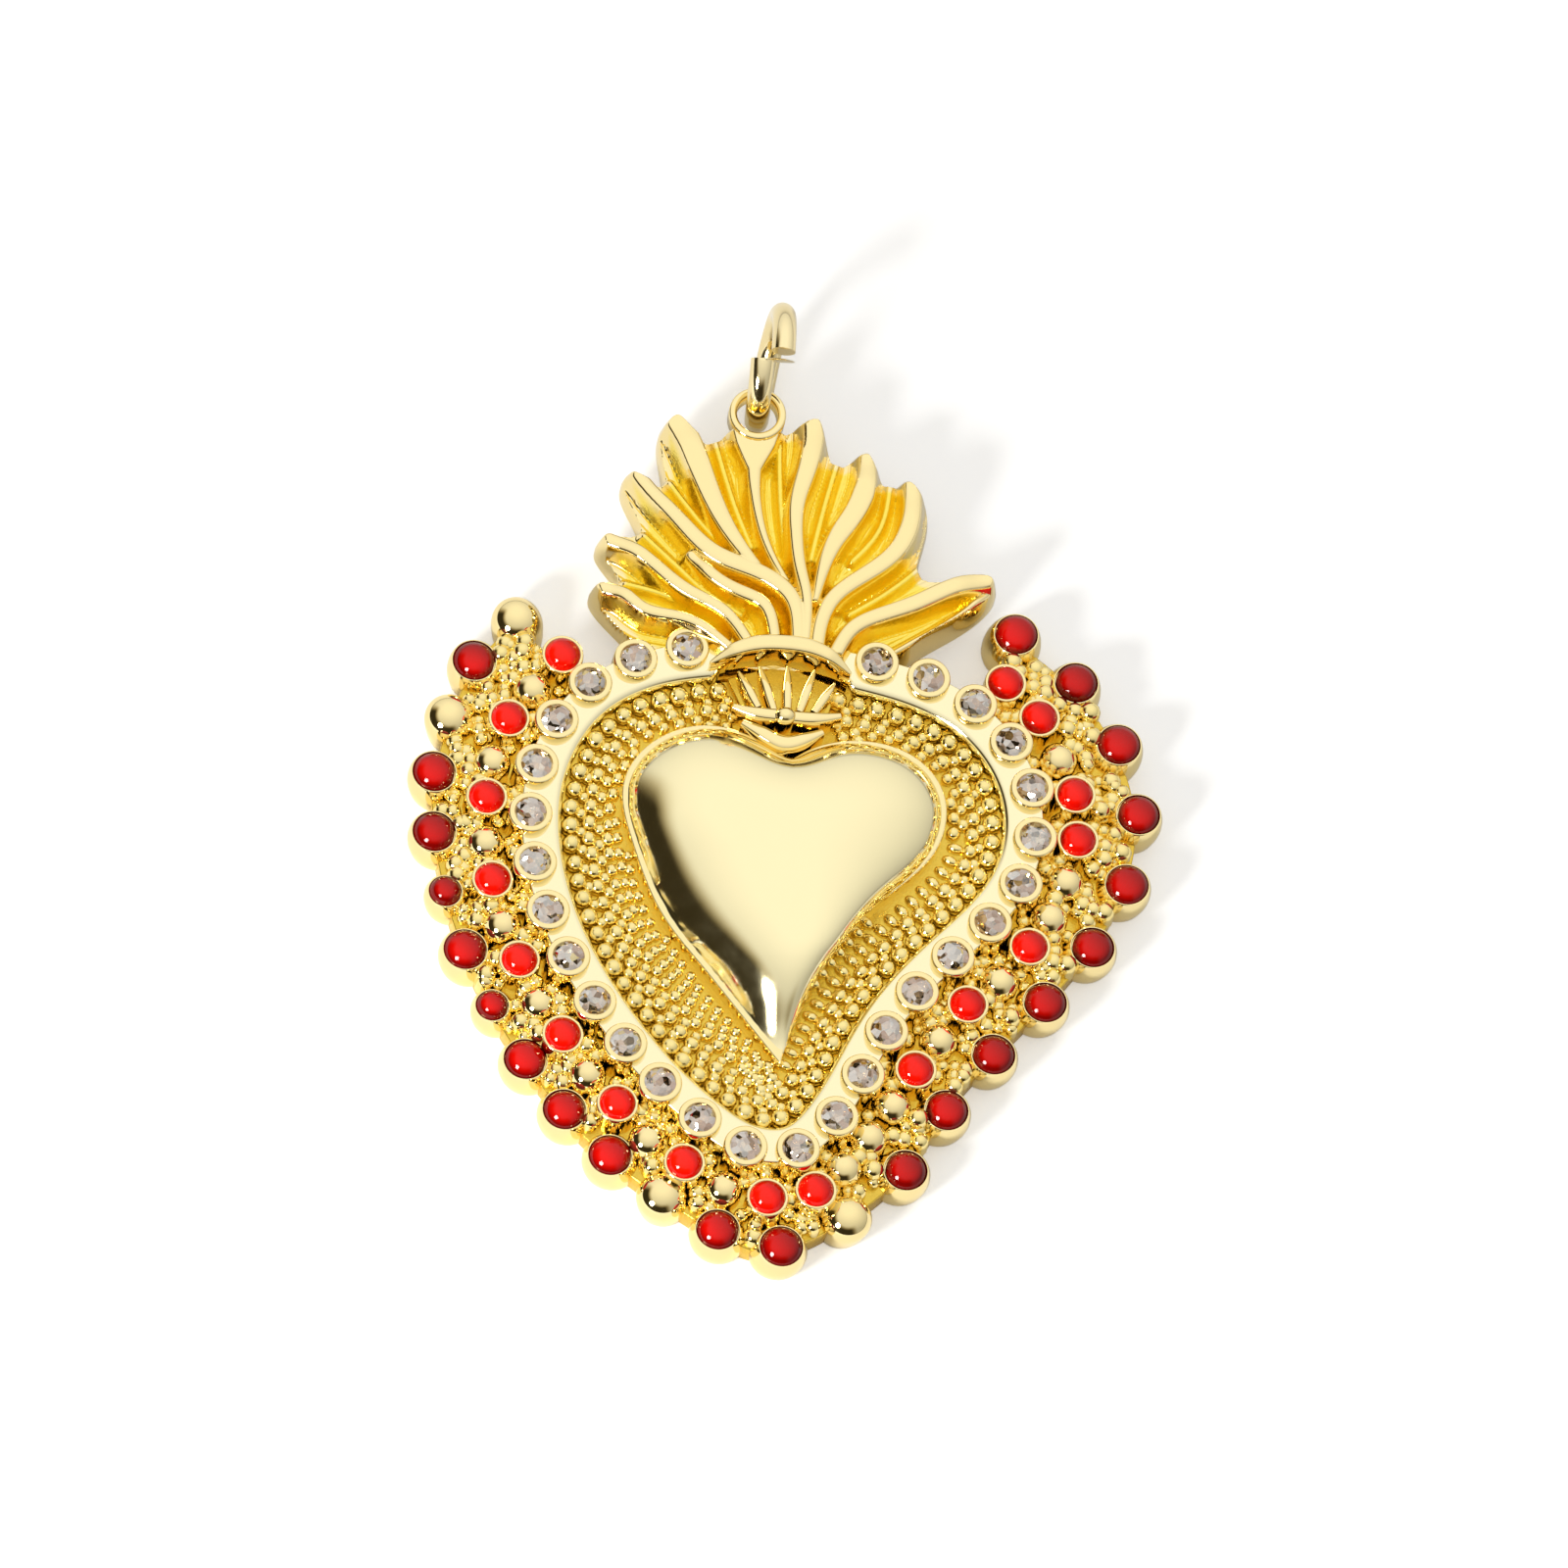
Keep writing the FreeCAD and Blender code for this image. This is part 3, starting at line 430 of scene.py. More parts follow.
def enamel(name, bright, deep):
    """Glossy red resin, painted bright on top of the drop and painted in shade towards its rim."""
    material, tree, shader = new_material(name, {
        "Roughness": 0.06, "IOR": 1.5, "Specular IOR Level": 0.02, "Coat Weight": 0.55,
        "Coat Roughness": 0.02})
    place = add_node(tree, "ShaderNodeTexCoord")
    cloud = add_node(tree, "ShaderNodeTexNoise", settings={"Scale": 1 / (CLOUD_MM * MM), "Detail": 2.0},
                     links={"Vector": place.outputs["Object"]})
    upward = add_node(tree, "ShaderNodeSeparateXYZ", links={0: place.outputs["Normal"]})
    # Painted shade: where the surface tilts down towards the rim, the red turns deeper.
    depth = add_node(tree, "ShaderNodeMapRange", interpolation_type="SMOOTHSTEP",
                     settings={"From Min": RIM_SHADE_SLOPES[0], "From Max": RIM_SHADE_SLOPES[1]},
                     links={"Value": upward.outputs["Z"]})
    drift = add_node(tree, "ShaderNodeMapRange",
                     settings={"From Min": 0.35, "From Max": 0.65, "To Max": CLOUD_SHARE},
                     links={"Value": cloud.outputs["Fac"]})
    share = add_node(tree, "ShaderNodeMath", operation="ADD", use_clamp=True,
                     links={0: depth.outputs[0], 1: drift.outputs[0]})
    red = add_node(tree, "ShaderNodeMix", data_type="RGBA", settings={6: linear(bright), 7: linear(deep)},
                   links={"Factor": share.outputs[0]})
    tree.links.new(red.outputs[2], shader.inputs["Base Color"])
    return material


# The inner drops are a clear signal red, with little painted shade at the rim.
bright_red = enamel("bright_red_cold_enamel", "#FF1804", "#D80A02")
# The outer drops are a darker red, and painted shade turns them dark cherry red at their rims.
dark_red = enamel("dark_red_cold_enamel", "#DC0A04", "#6E0302")
print("enamels:", bright_red.name, dark_red.name)

# %% [markdown]
# The stones are cubic zirconia, which bends light far more than glass does, with a mirrored
# foil behind their pavilions. A stone of 1.2 mm shows only a few dozen pixels, so its
# flashes come from flat patches: a Voronoi pattern gives each patch one tip and one painted
# tint, a painted reflection that runs from brown to a pale painted flash.

# %% Stones and their foil
def creased_with_painted_reflections(name, dark, pale, patch_mm, tilt, settings):
    """Stone or foil in small flat patches, each one tipped differently and painted with its own reflected
    tint.
    """
    material, tree, shader = new_material(name, settings)
    place = add_node(tree, "ShaderNodeTexCoord")
    crease = add_node(tree, "ShaderNodeTexVoronoi", settings={"Scale": 1 / (patch_mm * MM)},
                      links={"Vector": place.outputs["Object"]})
    patch = add_node(tree, "ShaderNodeSeparateColor", links={"Color": crease.outputs["Color"]})
    # Painted reflection: each patch gets a tint between a dark brown reflection and a pale flash.
    tint = add_node(tree, "ShaderNodeMix", data_type="RGBA", settings={6: linear(dark), 7: linear(pale)},
                    links={"Factor": patch.outputs[0]})
    centred = add_node(tree, "ShaderNodeVectorMath", operation="SUBTRACT", settings={1: (0.5, 0.5, 0.5)},
                       links={0: crease.outputs["Color"]})
    scaled = add_node(tree, "ShaderNodeVectorMath", operation="SCALE", settings={"Scale": tilt},
                      links={0: centred.outputs[0]})
    face = add_node(tree, "ShaderNodeNewGeometry")
    tipped = add_node(tree, "ShaderNodeVectorMath",
                      links={0: face.outputs["Normal"], 1: scaled.outputs[0]})
    normal = add_node(tree, "ShaderNodeVectorMath", operation="NORMALIZE", links={0: tipped.outputs[0]})
    tree.links.new(tint.outputs[2], shader.inputs["Base Color"])
    tree.links.new(normal.outputs[0], shader.inputs["Normal"])
    return material


# A small cubic zirconia flashes from a few facets and shows part of its foil. The brown
# and pink that it would mirror, and its white flashes, are painted into its patches.
zirconia = creased_with_painted_reflections("faceted_cubic_zirconia_with_painted_reflections", "#D2B29A", "#FFFAF0", 0.26, 1.0,
                   {"Transmission Weight": 1.0, "Metallic": 0.6, "Roughness": 0.03, "IOR": 2.15})
# Foil is silvered lacquer with a pink cast, creased so that each small patch is tipped
# differently. Brown reflections and white flashes are painted into its patches.
foil = creased_with_painted_reflections("creased_foil_with_painted_reflections", "#F0D6C2", "#FFFBF2", 0.22, 0.85,
               {"Metallic": 1.0, "Roughness": 0.03})
print("stone and foil:", zirconia.name, foil.name)

# %% [markdown]
# ## Lines of the rows
# Every stone and drop is a solid of the frame, so its box gives its place. The plain balls
# stand between the drops, so a smooth line through the drops gives theirs. A natural cubic
# spline is the line that a thin bent strip would take through the same points.

# %% Smooth lines
def run_along(line):
    """Distance along a line at each of its points."""
    return np.concatenate([[0], np.cumsum(np.linalg.norm(np.diff(line, axis=0), axis=1))])


def at_marks(marks, run, line):
    """Points of a line at distances along it."""
    return np.column_stack([np.interp(marks, run, line[:, axis]) for axis in (0, 1)])


def smooth(points, count, closed=False):
    """Points of a natural cubic spline through drawn points, evenly spaced along it."""
    points = np.array([tuple(p)[:2] for p in points], float)
    if closed:
        wrap = min(6, len(points) - 1)
        points = np.vstack([points[-wrap:], points, points[:wrap + 1]])
    knots = np.concatenate([[0], np.cumsum(np.linalg.norm(np.diff(points, axis=0), axis=1) ** 0.5)])
    size = len(points)
    matrix = np.eye(size)
    target = np.zeros((size, 2))
    for row in range(1, size - 1):
        before = knots[row] - knots[row - 1]
        after = knots[row + 1] - knots[row]
        matrix[row, row - 1:row + 2] = before, 2 * (before + after), after
        target[row] = 6 * ((points[row + 1] - points[row]) / after
                           - (points[row] - points[row - 1]) / before)
    bend = np.linalg.solve(matrix, target)
    first = knots[wrap] if closed else knots[0]
    last = knots[-wrap - 1] if closed else knots[-1]
    fine = np.linspace(first, last, 40 * size)
    spans = np.clip(np.searchsorted(knots, fine, side="right") - 1, 0, size - 2)
    width = (knots[spans + 1] - knots[spans])[:, None]
    a = (knots[spans + 1] - fine)[:, None] / width
    b = 1 - a
    line = (a * points[spans] + b * points[spans + 1]
            + ((a ** 3 - a) * bend[spans] + (b ** 3 - b) * bend[spans + 1]) * width ** 2 / 6)
    run = run_along(line)
    marks = np.linspace(0, run[-1], count + 1 if closed else count)
    even = at_marks(marks, run, line)
    return even[:-1] if closed else even


def sides_of(line, closed=False):
    """Unit direction to the right of travel at each point, outwards on every line here."""
    if closed:
        along = np.roll(line, -1, axis=0) - np.roll(line, 1, axis=0)
    else:
        along = np.gradient(line, axis=0)
    along /= np.linalg.norm(along, axis=1)[:, None]
    return np.column_stack([along[:, 1], -along[:, 0]])


def middle(node):
    """Middle of a node's box in millimetres."""
    low_corner, high_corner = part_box(node)
    return (low_corner + high_corner) / 2 / MM


def numbered(stem):
    """Names of the frame's nodes that start with a stem, in order."""
    return sorted(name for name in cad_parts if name.startswith(stem))


# %% Places of the stones
stone_nodes = numbered("clear_stone_")
stone_places = [middle(node) for node in stone_nodes]
CROWN_POINT = (-0.4, 8.75)
stone_line = smooth([CROWN_POINT] + stone_places, 400, closed=True)
stone_out = sides_of(stone_line, closed=True)
stone_size = (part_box(stone_nodes[0])[1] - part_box(stone_nodes[0])[0]) / MM
print("stones:", len(stone_places), "size", [round(s, 2) for s in stone_size])

# %% Places of the drops
INNER_ROW_OFFSET = 1.62
SAME_DROP = 1.0


def loose_middles(node):
    """Middle of each separate solid in a node that holds several, worked out from its mesh."""
    points = np.array([v.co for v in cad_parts[node].data.vertices]) / MM
    groups = []
    for point in points:
        near = [g for g in groups if np.linalg.norm(np.mean(g, axis=0)[:2] - point[:2]) < SAME_DROP]
        if near:
            near[0].append(point)
        else:
            groups.append([point])
    return [(np.min(g, axis=0) + np.max(g, axis=0)) / 2 for g in groups]


def in_line_order(places, line):
    """Places sorted by how far along a line they lie."""
    return sorted(places, key=lambda p: int(np.argmin(np.linalg.norm(line - np.array(p)[:2], axis=1))))


row_line = stone_line + stone_out * INNER_ROW_OFFSET
inner_drop_places = in_line_order(loose_middles("inner_drops_left") + loose_middles("inner_drops_right"),
                                  row_line)
outer_nodes = numbered("outer_drop_")
outer_drop_places = [middle(node) for node in outer_nodes]
print("drops:", len(inner_drop_places), "inner and", len(outer_drop_places), "outer")

# %% Places of the plain balls
INNER_PATTERN = "rbrbrbrbrbrbrbrbrrbbbrbrbrbbrrbrr"
OUTER_PATTERN = "brbrrsrsrrrbrrbrrrrrrrrrr"
FIRST_BALL = (-10.2, 9.85)


def between(pattern, drops, start=None):
    """Places of the balls of a row, set evenly along the line through its drops."""
    known = ([np.array(start)] if start is not None else []) + [np.array(p)[:2] for p in drops]
    line = smooth(known, 2000)
    marks = [int(np.argmin(np.linalg.norm(line - place, axis=1))) for place in known]
    letters = [i for i, letter in enumerate(pattern) if letter != "b"]
    if start is not None:
        letters = [0] + letters
    balls = [] if start is None else [(known[0], 0)]
    for (a, b), (i, j) in zip(zip(marks, marks[1:]), zip(letters, letters[1:])):
        for step in range(1, j - i):
            index = round(a + (b - a) * step / (j - i))
            balls.append((line[index], index))
    outs = sides_of(line)
    return [(place, outs[index]) for place, index in balls], [outs[m] for m in marks]


inner_balls, _ = between(INNER_PATTERN, inner_drop_places)
outer_balls, outer_outs = between(OUTER_PATTERN, outer_drop_places, FIRST_BALL)
outer_outs = outer_outs[1:]
print("balls:", len(inner_balls), "inner and", len(outer_balls), "outer")


def standing(place, out=(1, 0), height=0.0):
    """Matrix that stands a model at a place with its X axis along the outward direction."""
    turn = Matrix.Rotation(math.atan2(out[1], out[0]), 4, "Z")
    return Matrix.Translation((place[0], place[1], height)) @ turn


# %% [markdown]
# ## Clear stones
# A round brilliant has a flat table, eight kite facets with triangles between them, and
# long facets to a point below. It could be built corner by corner, but it is cut here as a
# stone cutter does it: a drum of rough is brought to one flat plane after another. Each
# facet is one bisect that throws the outer side away and fills the cut. One stone is cut
# and then copied into each seat.

# %% Cut one brilliant
GIRDLE_HEIGHT = 2.49
CROWN_RISE = 0.16
PAVILION_DEPTH = 0.46
TABLE_SHARE = 0.56
GIRDLE_HALF = 0.012
ROUGH_DEPTH = 1.2
STAR_SLOPE = 0.7
BREAK_SLOPE = 1.14
LOWER_BREAK_SLOPE = 1.06
BREAK_INSET = 0.992
EIGHTH = 45.0
BREAK_STARTS = (EIGHTH / 4, EIGHTH * 3 / 4)
NEARLY_LEVEL = 0.001
STONE_RADIUS = stone_size.x / 2


def cut_ring(count, start, slope, radius, height):
    """Cut a ring of facets: planes at a slope in degrees that pass a radius at a height."""
    for number in range(count):
        around = math.radians(start + 360 * number / count)
        outwards = Vector((math.cos(around), math.sin(around), 0))
        tilt = math.radians(abs(slope))
        normal = outwards * math.sin(tilt) + Vector((0, 0, math.copysign(math.cos(tilt), slope)))
        bpy.ops.mesh.select_all(action="SELECT")
        bpy.ops.mesh.bisect(plane_co=outwards * radius + Vector((0, 0, height)), plane_no=normal,
                            use_fill=True, clear_outer=True)


def brilliant():
    """Round brilliant of eight-fold cut, its girdle level with the origin."""
    bpy.ops.object.select_all(action="DESELECT")
    bpy.ops.mesh.primitive_cylinder_add(vertices=32, radius=STONE_RADIUS, depth=ROUGH_DEPTH)
    stone = bpy.context.object
    table = STONE_RADIUS * TABLE_SHARE
    crown_slope = math.degrees(math.atan(CROWN_RISE / (STONE_RADIUS - table)))
    pavilion_slope = math.degrees(math.atan(PAVILION_DEPTH / STONE_RADIUS))
    bpy.ops.object.mode_set(mode="EDIT")
    cut_ring(1, 0, NEARLY_LEVEL, 0, CROWN_RISE)
    cut_ring(8, 0, crown_slope, STONE_RADIUS, GIRDLE_HALF)
    cut_ring(8, EIGHTH / 2, crown_slope * STAR_SLOPE, table * math.cos(math.radians(EIGHTH / 2)), CROWN_RISE)
    for start in BREAK_STARTS:
        cut_ring(8, start, crown_slope * BREAK_SLOPE, STONE_RADIUS * BREAK_INSET, GIRDLE_HALF)
    cut_ring(8, 0, -pavilion_slope, STONE_RADIUS, -GIRDLE_HALF)
    for start in BREAK_STARTS:
        cut_ring(8, start, -pavilion_slope * LOWER_BREAK_SLOPE, STONE_RADIUS * BREAK_INSET, -GIRDLE_HALF)
    bpy.ops.object.mode_set(mode="OBJECT")
    return point_outwards(stone)


rough_cut = brilliant()
print("facets:", len(rough_cut.data.polygons))

# %% Set it 28 times
STONE_TURNS = (0.0, 0.13, 0.31, 0.07, 0.22)
PAVILION_FACING = -0.15
for number, node in enumerate(stone_nodes):
    turn = Matrix.Rotation(STONE_TURNS[number % len(STONE_TURNS)] * math.pi, 4, "Z")
    stone = rough_cut.copy()
    stone.data = rough_cut.data.copy()
    bpy.context.scene.collection.objects.link(stone)
    stone.data.transform(standing(stone_places[number], height=GIRDLE_HEIGHT) @ turn)
    finish_piece(stone, node + "_cut", zirconia, smooth_angle=1.0)
    stone.data.materials.append(foil)
    for face in stone.data.polygons:
        face.material_index = 1 if face.normal.z < PAVILION_FACING else 0
    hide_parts(node)
bpy.data.objects.remove(rough_cut)

# %% [markdown]
# ## Bezels
# Each stone sits in a raised collar with a flat lip pushed over the girdle. The collars
# reach down past the border and give its outer edge its scallops. A bezel is turned work,
# so its half profile is drawn and spun.

# %% Turn one bezel and copy it under every stone
BORDER_TOP = 2.2
BEZEL_FOOT = 0.89
BEZEL_OUTSIDE = 0.82
BEZEL_RIM = 2.55
BEZEL_LIP = 0.09
BACK_GAP = 0.02
# The profile runs from the foot up the wall, over the round lip and down into the seat.
bezel_profile = ([(0.0, BACK_GAP), (BEZEL_FOOT, BACK_GAP), (BEZEL_OUTSIDE + 0.01, BORDER_TOP)]
                 + arc((BEZEL_OUTSIDE - BEZEL_LIP, BEZEL_RIM - BEZEL_LIP), BEZEL_LIP, 8, 90, 4)
                 + arc((0.62, BEZEL_RIM - 0.03), 0.03, 90, 180, 2)
                 + [(0.575, BEZEL_RIM - 0.09), (0.3, BEZEL_RIM - 0.36), (0.0, BEZEL_RIM - 0.62)])
bezel = lathe("bezel", bezel_profile, 40)
bezels = copies(bezel, [standing(place) for place in stone_places])
finish_piece(bezels, "stone_bezels", polished_gold)

# %% [markdown]
# ## Enamel drops
# Resin is dropped into each cup and its surface tension pulls it into a dome. A dome is
# the cap of a sphere: the sphere is cut at the lip, and its cut edge is drawn straight
# down into the cup and closed.

# %% Cut the drops from spheres
INNER_CUP_TOP = 2.1
OUTER_CUP_TOP = 1.5
DROP_RISE = 0.46
SEAT_DEPTH = 0.2
INNER_DROP_RADIUS = 0.66
BRIM = 0.06


def domed(name, radius, rise, level, foot, segments=32, rings=26):
    """Cap of a sphere over a straight wall: rise above the level, wall down to the foot."""
    bend = (radius ** 2 + rise ** 2) / (2 * rise)
    bpy.ops.object.select_all(action="DESELECT")
    bpy.ops.mesh.primitive_uv_sphere_add(segments=segments, ring_count=rings, radius=bend)
    piece = bpy.context.object
    piece.name = name
    piece.data.transform(Matrix.Translation((0, 0, level + rise - bend)))
    bpy.ops.object.mode_set(mode="EDIT")
    bpy.ops.mesh.select_mode(type="VERT")
    bpy.ops.mesh.select_all(action="SELECT")
    bpy.ops.mesh.bisect(plane_co=(0, 0, level), plane_no=(0, 0, 1), clear_inner=True)
    bpy.ops.mesh.extrude_edges_move(TRANSFORM_OT_translate={"value": (0, 0, foot - level)})
    bpy.ops.mesh.edge_face_add()
    bpy.ops.object.mode_set(mode="OBJECT")
    return point_outwards(piece)


for half in ("inner_drops_left", "inner_drops_right"):
    drop = domed("drop", INNER_DROP_RADIUS, DROP_RISE, INNER_CUP_TOP, INNER_CUP_TOP - SEAT_DEPTH)
    places = [p for p in inner_drop_places if (p[0] < 0) == (half == "inner_drops_left")]
    drops = copies(drop, [standing(p) for p in places])
    finish_piece(drops, half + "_domes", bright_red, smooth_angle=60.0)
    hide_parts(half)
for node, place in zip(outer_nodes, outer_drop_places):
    low_corner, high_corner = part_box(node)
    radius = (high_corner.y - low_corner.y) / 2 / MM
    drop = domed("drop", radius + BRIM, DROP_RISE, OUTER_CUP_TOP, OUTER_CUP_TOP - SEAT_DEPTH)
    drop.data.transform(standing(place))
    finish_piece(drop, node + "_dome", dark_red, smooth_angle=60.0)
    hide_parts(node)

# %% [markdown]
# ## Cups and plain balls
# The inner cups are nearly straight with a thin flat lip. The outer cups are little barrels
# that stand on the back plane and lean outwards, so their rings are shifted as they rise.
# The balls between them are domed lumps of the same casting.

# %% Cups
INNER_CUP_FOOT = 0.84
INNER_CUP_WALL = 0.78
INNER_FOOT_LEVEL = 0.5
inner_cup_profile = ([(0.0, INNER_FOOT_LEVEL), (INNER_CUP_FOOT, INNER_FOOT_LEVEL),
                      (INNER_CUP_WALL + 0.01, INNER_CUP_TOP - 0.12)]
                     + arc((INNER_CUP_WALL - 0.05, INNER_CUP_TOP - 0.05), 0.05, 5, 90, 4)
                     + [(INNER_DROP_RADIUS + 0.015, INNER_CUP_TOP - 0.01),
                        (INNER_DROP_RADIUS + 0.005, INNER_CUP_TOP - 0.24), (0.0, INNER_CUP_TOP - 0.24)])
inner_cup = lathe("inner_cup", inner_cup_profile, 32)
inner_cups = copies(inner_cup, [standing(place) for place in inner_drop_places])
finish_piece(inner_cups, "inner_cups", polished_gold)

# %% Leaning barrels of the outer row
OUTER_LEAN = 0.28
LIP_WIDTH = 0.1
DROP_PLAY = 0.01
CUP_BELLIES = {"r": 1.09, "s": 0.89}
DROP_RADII = {"r": 0.78, "s": 0.59}


def lean(piece):
    """Shift each ring of a model along X as it rises, up to the height of the outer cups."""
    for vertex in piece.data.vertices:
        vertex.co.x += OUTER_LEAN * (min(vertex.co.z, OUTER_CUP_TOP) / OUTER_CUP_TOP - 1)
    return piece


def outer_cup_profile(belly, bore):
    """Barrel with a flat foot, a round belly and a rolled lip."""
    foot = belly * 0.9
    rim = bore + LIP_WIDTH
    top = OUTER_CUP_TOP
    return [(0.0, BACK_GAP), (foot - 0.06, BACK_GAP), (foot, 0.07), (belly * 0.975, 0.28), (belly, 0.6),
            (belly * 0.985, 0.85), (belly * 0.93, 1.12), (rim + 0.03, top - 0.14), (rim - 0.02, top - 0.04),
            (rim - 0.05, top), (bore + 0.02, top), (bore, top - 0.03), (bore, top - 0.24), (0.0, top - 0.24)]


made_cups = []
outer_letters = [letter for letter in OUTER_PATTERN if letter != "b"]
for letter in "rs":
    profile = outer_cup_profile(CUP_BELLIES[letter], DROP_RADII[letter] + DROP_PLAY)
    model = lean(lathe("outer_cup", profile, 36))
    places = [standing(p, o) for p, o, k in zip(outer_drop_places, outer_outs, outer_letters) if k == letter]
    made_cups.append(copies(model, places))
finish_piece(joined(made_cups), "outer_cups", polished_gold)

# %% Plain balls
INNER_BALL_RADIUS = 0.72
INNER_BALL_TOP = 2.12
INNER_BALL_RISE = 0.71
OUTER_BALL_RADIUS = 0.98
OUTER_BALL_TOP = 1.95
ball = domed("inner_ball", INNER_BALL_RADIUS, INNER_BALL_RISE, INNER_BALL_TOP - INNER_BALL_RISE,
             INNER_FOOT_LEVEL, 32, 20)
inner_ball_piece = copies(ball, [standing(place, out) for place, out in inner_balls])
finish_piece(inner_ball_piece, "inner_balls", polished_gold, smooth_angle=70.0)

ball_profile = [(0.0, BACK_GAP), (0.86, BACK_GAP), (0.92, 0.07), (0.965, 0.4), (OUTER_BALL_RADIUS, 0.75)]
ball_profile += arc((0.0, OUTER_BALL_TOP - OUTER_BALL_RADIUS), OUTER_BALL_RADIUS, 2, 90, 12)[:-1]
ball_profile += [(0.0, OUTER_BALL_TOP)]
ball = lean(lathe("outer_ball", ball_profile, 36))
outer_ball_piece = copies(ball, [standing(place, out) for place, out in outer_balls])
finish_piece(outer_ball_piece, "outer_balls", polished_gold, smooth_angle=70.0)

# %% [markdown]
# ## Border, back plate and channel
# The border is a flat band that runs round the heart at an even width and narrows under the
# fan. It could be cut from a plate, but sweeping its section along the line of the stones
# keeps the width exact and lets its inner edge be rounded. A plate starts as a filled circle
# whose points are moved onto its outline, and is then extruded upwards and bevelled.

# %% Sweeps and plates
def swept(name, line, outs, section, reach_in):
    """Band along a closed line: corners are offsets outwards and heights, reach_in narrows it."""
    points = []
    for offset, height in section:
        offsets = offset * reach_in if offset < 0 else np.full(len(line), offset)
        points += [(x, y, height) for x, y in line + outs * offsets[:, None]]
    return point_outwards(new_mesh(name, points, ring_faces(len(section), len(line), closed=True)))


def plate(name, outline, bottom, top, bevel):
    """Plate of a drawn outline with rounded edges: outline, extrude upwards, bevel the rims."""
    bpy.ops.object.select_all(action="DESELECT")
    bpy.ops.mesh.primitive_circle_add(vertices=len(outline), radius=1, fill_type="NGON")
    piece = bpy.context.object
    piece.name = name
    for vertex, (x, y) in zip(piece.data.vertices, outline):
        vertex.co = (x, y, bottom)
    bpy.ops.object.mode_set(mode="EDIT")
    bpy.ops.mesh.select_all(action="SELECT")
    bpy.ops.mesh.extrude_region_move(TRANSFORM_OT_translate={"value": (0, 0, top - bottom)})
    bpy.ops.object.mode_set(mode="OBJECT")
    point_outwards(piece)
    if bevel > 0:
        rim = piece.modifiers.new("rim", "BEVEL")
        rim.width = bevel
        rim.segments = 3
        rim.limit_method = "ANGLE"
        rim.angle_limit = math.radians(60)
        bpy.ops.object.modifier_apply(modifier="rim")
    return piece


# %% Border
BORDER_OUT = 0.3
BORDER_IN = -1.2
BORDER_FOOT = 0.3
INNER_ROUND = 0.36
OUTER_ROUND = 0.06
border_section = ([(BORDER_IN, BORDER_FOOT)]
                  + [(BORDER_IN + INNER_ROUND - x, z)
                     for x, z in arc((0, BORDER_TOP - INNER_ROUND), INNER_ROUND, 0, 90, 6)]
                  + [(BORDER_OUT - OUTER_ROUND + x, z) for x, z in
                     reversed(arc((0, BORDER_TOP - OUTER_ROUND), OUTER_ROUND, 0, 90, 3))]
                  + [(BORDER_OUT, BORDER_FOOT)])
FAN_SPAN = (-2.35, 1.8)
FAN_EASE = 0.7
FAN_REACH = 0.35
UPPER_PART = 6.0
narrowing = np.interp(stone_line[:, 0],
                      [FAN_SPAN[0] - FAN_EASE, FAN_SPAN[0], FAN_SPAN[1], FAN_SPAN[1] + FAN_EASE],
                      [1.0, FAN_REACH, FAN_REACH, 1.0])
border = swept("border", stone_line, stone_out, border_section,
               np.where(stone_line[:, 1] > UPPER_PART, narrowing, 1.0))
finish_piece(border, "flat_border", border_gold)

# %% Back plate and channel floor
PLATE_THICKNESS = 1.0
PLATE_BEVEL = 0.06
PLATE_MARGIN = -0.05
BORDER_TOP_START = 7.1
outer_line = smooth([FIRST_BALL] + [tuple(p)[:2] for p in outer_drop_places], 240)
outer_edge = outer_line + sides_of(outer_line) * PLATE_MARGIN
rim_line = stone_line + stone_out * BORDER_OUT
half_way = len(rim_line) // 2
top_rim = ([p for p in rim_line[half_way:] if p[1] > BORDER_TOP_START]
           + [p for p in rim_line[:half_way] if p[1] > BORDER_TOP_START])
back_outline = np.vstack([outer_edge, top_rim])
back_plate = plate("back_plate", back_outline, 0.0, PLATE_THICKNESS, PLATE_BEVEL)
# The back plate shows between the cups, so it gets the darker gold of painted shade.
finish_piece(back_plate, "back_plate", painted_shade_recess_gold)

CHANNEL_FLOOR = 1.45
UNDER_BORDER = 0.1
channel_line = stone_line + stone_out * (BORDER_IN + UNDER_BORDER)
channel = plate("channel_floor", channel_line, BORDER_FOOT, CHANNEL_FLOOR, 0.0)
# The channel floor gets the darker gold of painted shade between the beads.
finish_piece(channel, "channel_floor", painted_shade_recess_gold)

# %% [markdown]
# ## Lumps between the cups
# The gaps between the cups and balls are filled with small round lumps of casting metal.
# They have no pattern, so they are scattered by chance: a coarse grid is jittered, and a
# spot is kept only where it lies between the walls. One domed post is made as the drops
# are, and is copied at many sizes.

# %% Distance to a line, and which points lie inside an outline
def nearest(points, line):
    """Distance of each point to a line, and how far along the line the nearest spot is."""
    best = np.full(len(points), 1e9)
    where = np.zeros(len(points))
    run = run_along(line)
    for index in range(len(line) - 1):
        start = line[index]
        span = line[index + 1] - start
        share = np.clip(((points - start) @ span) / (span @ span), 0, 1)
        distance = np.linalg.norm(points - start - share[:, None] * span, axis=1)
        closer = distance < best
        best[closer] = distance[closer]
        where[closer] = (run[index] + share[closer] * math.sqrt(span @ span)) / run[-1]
    return best, where


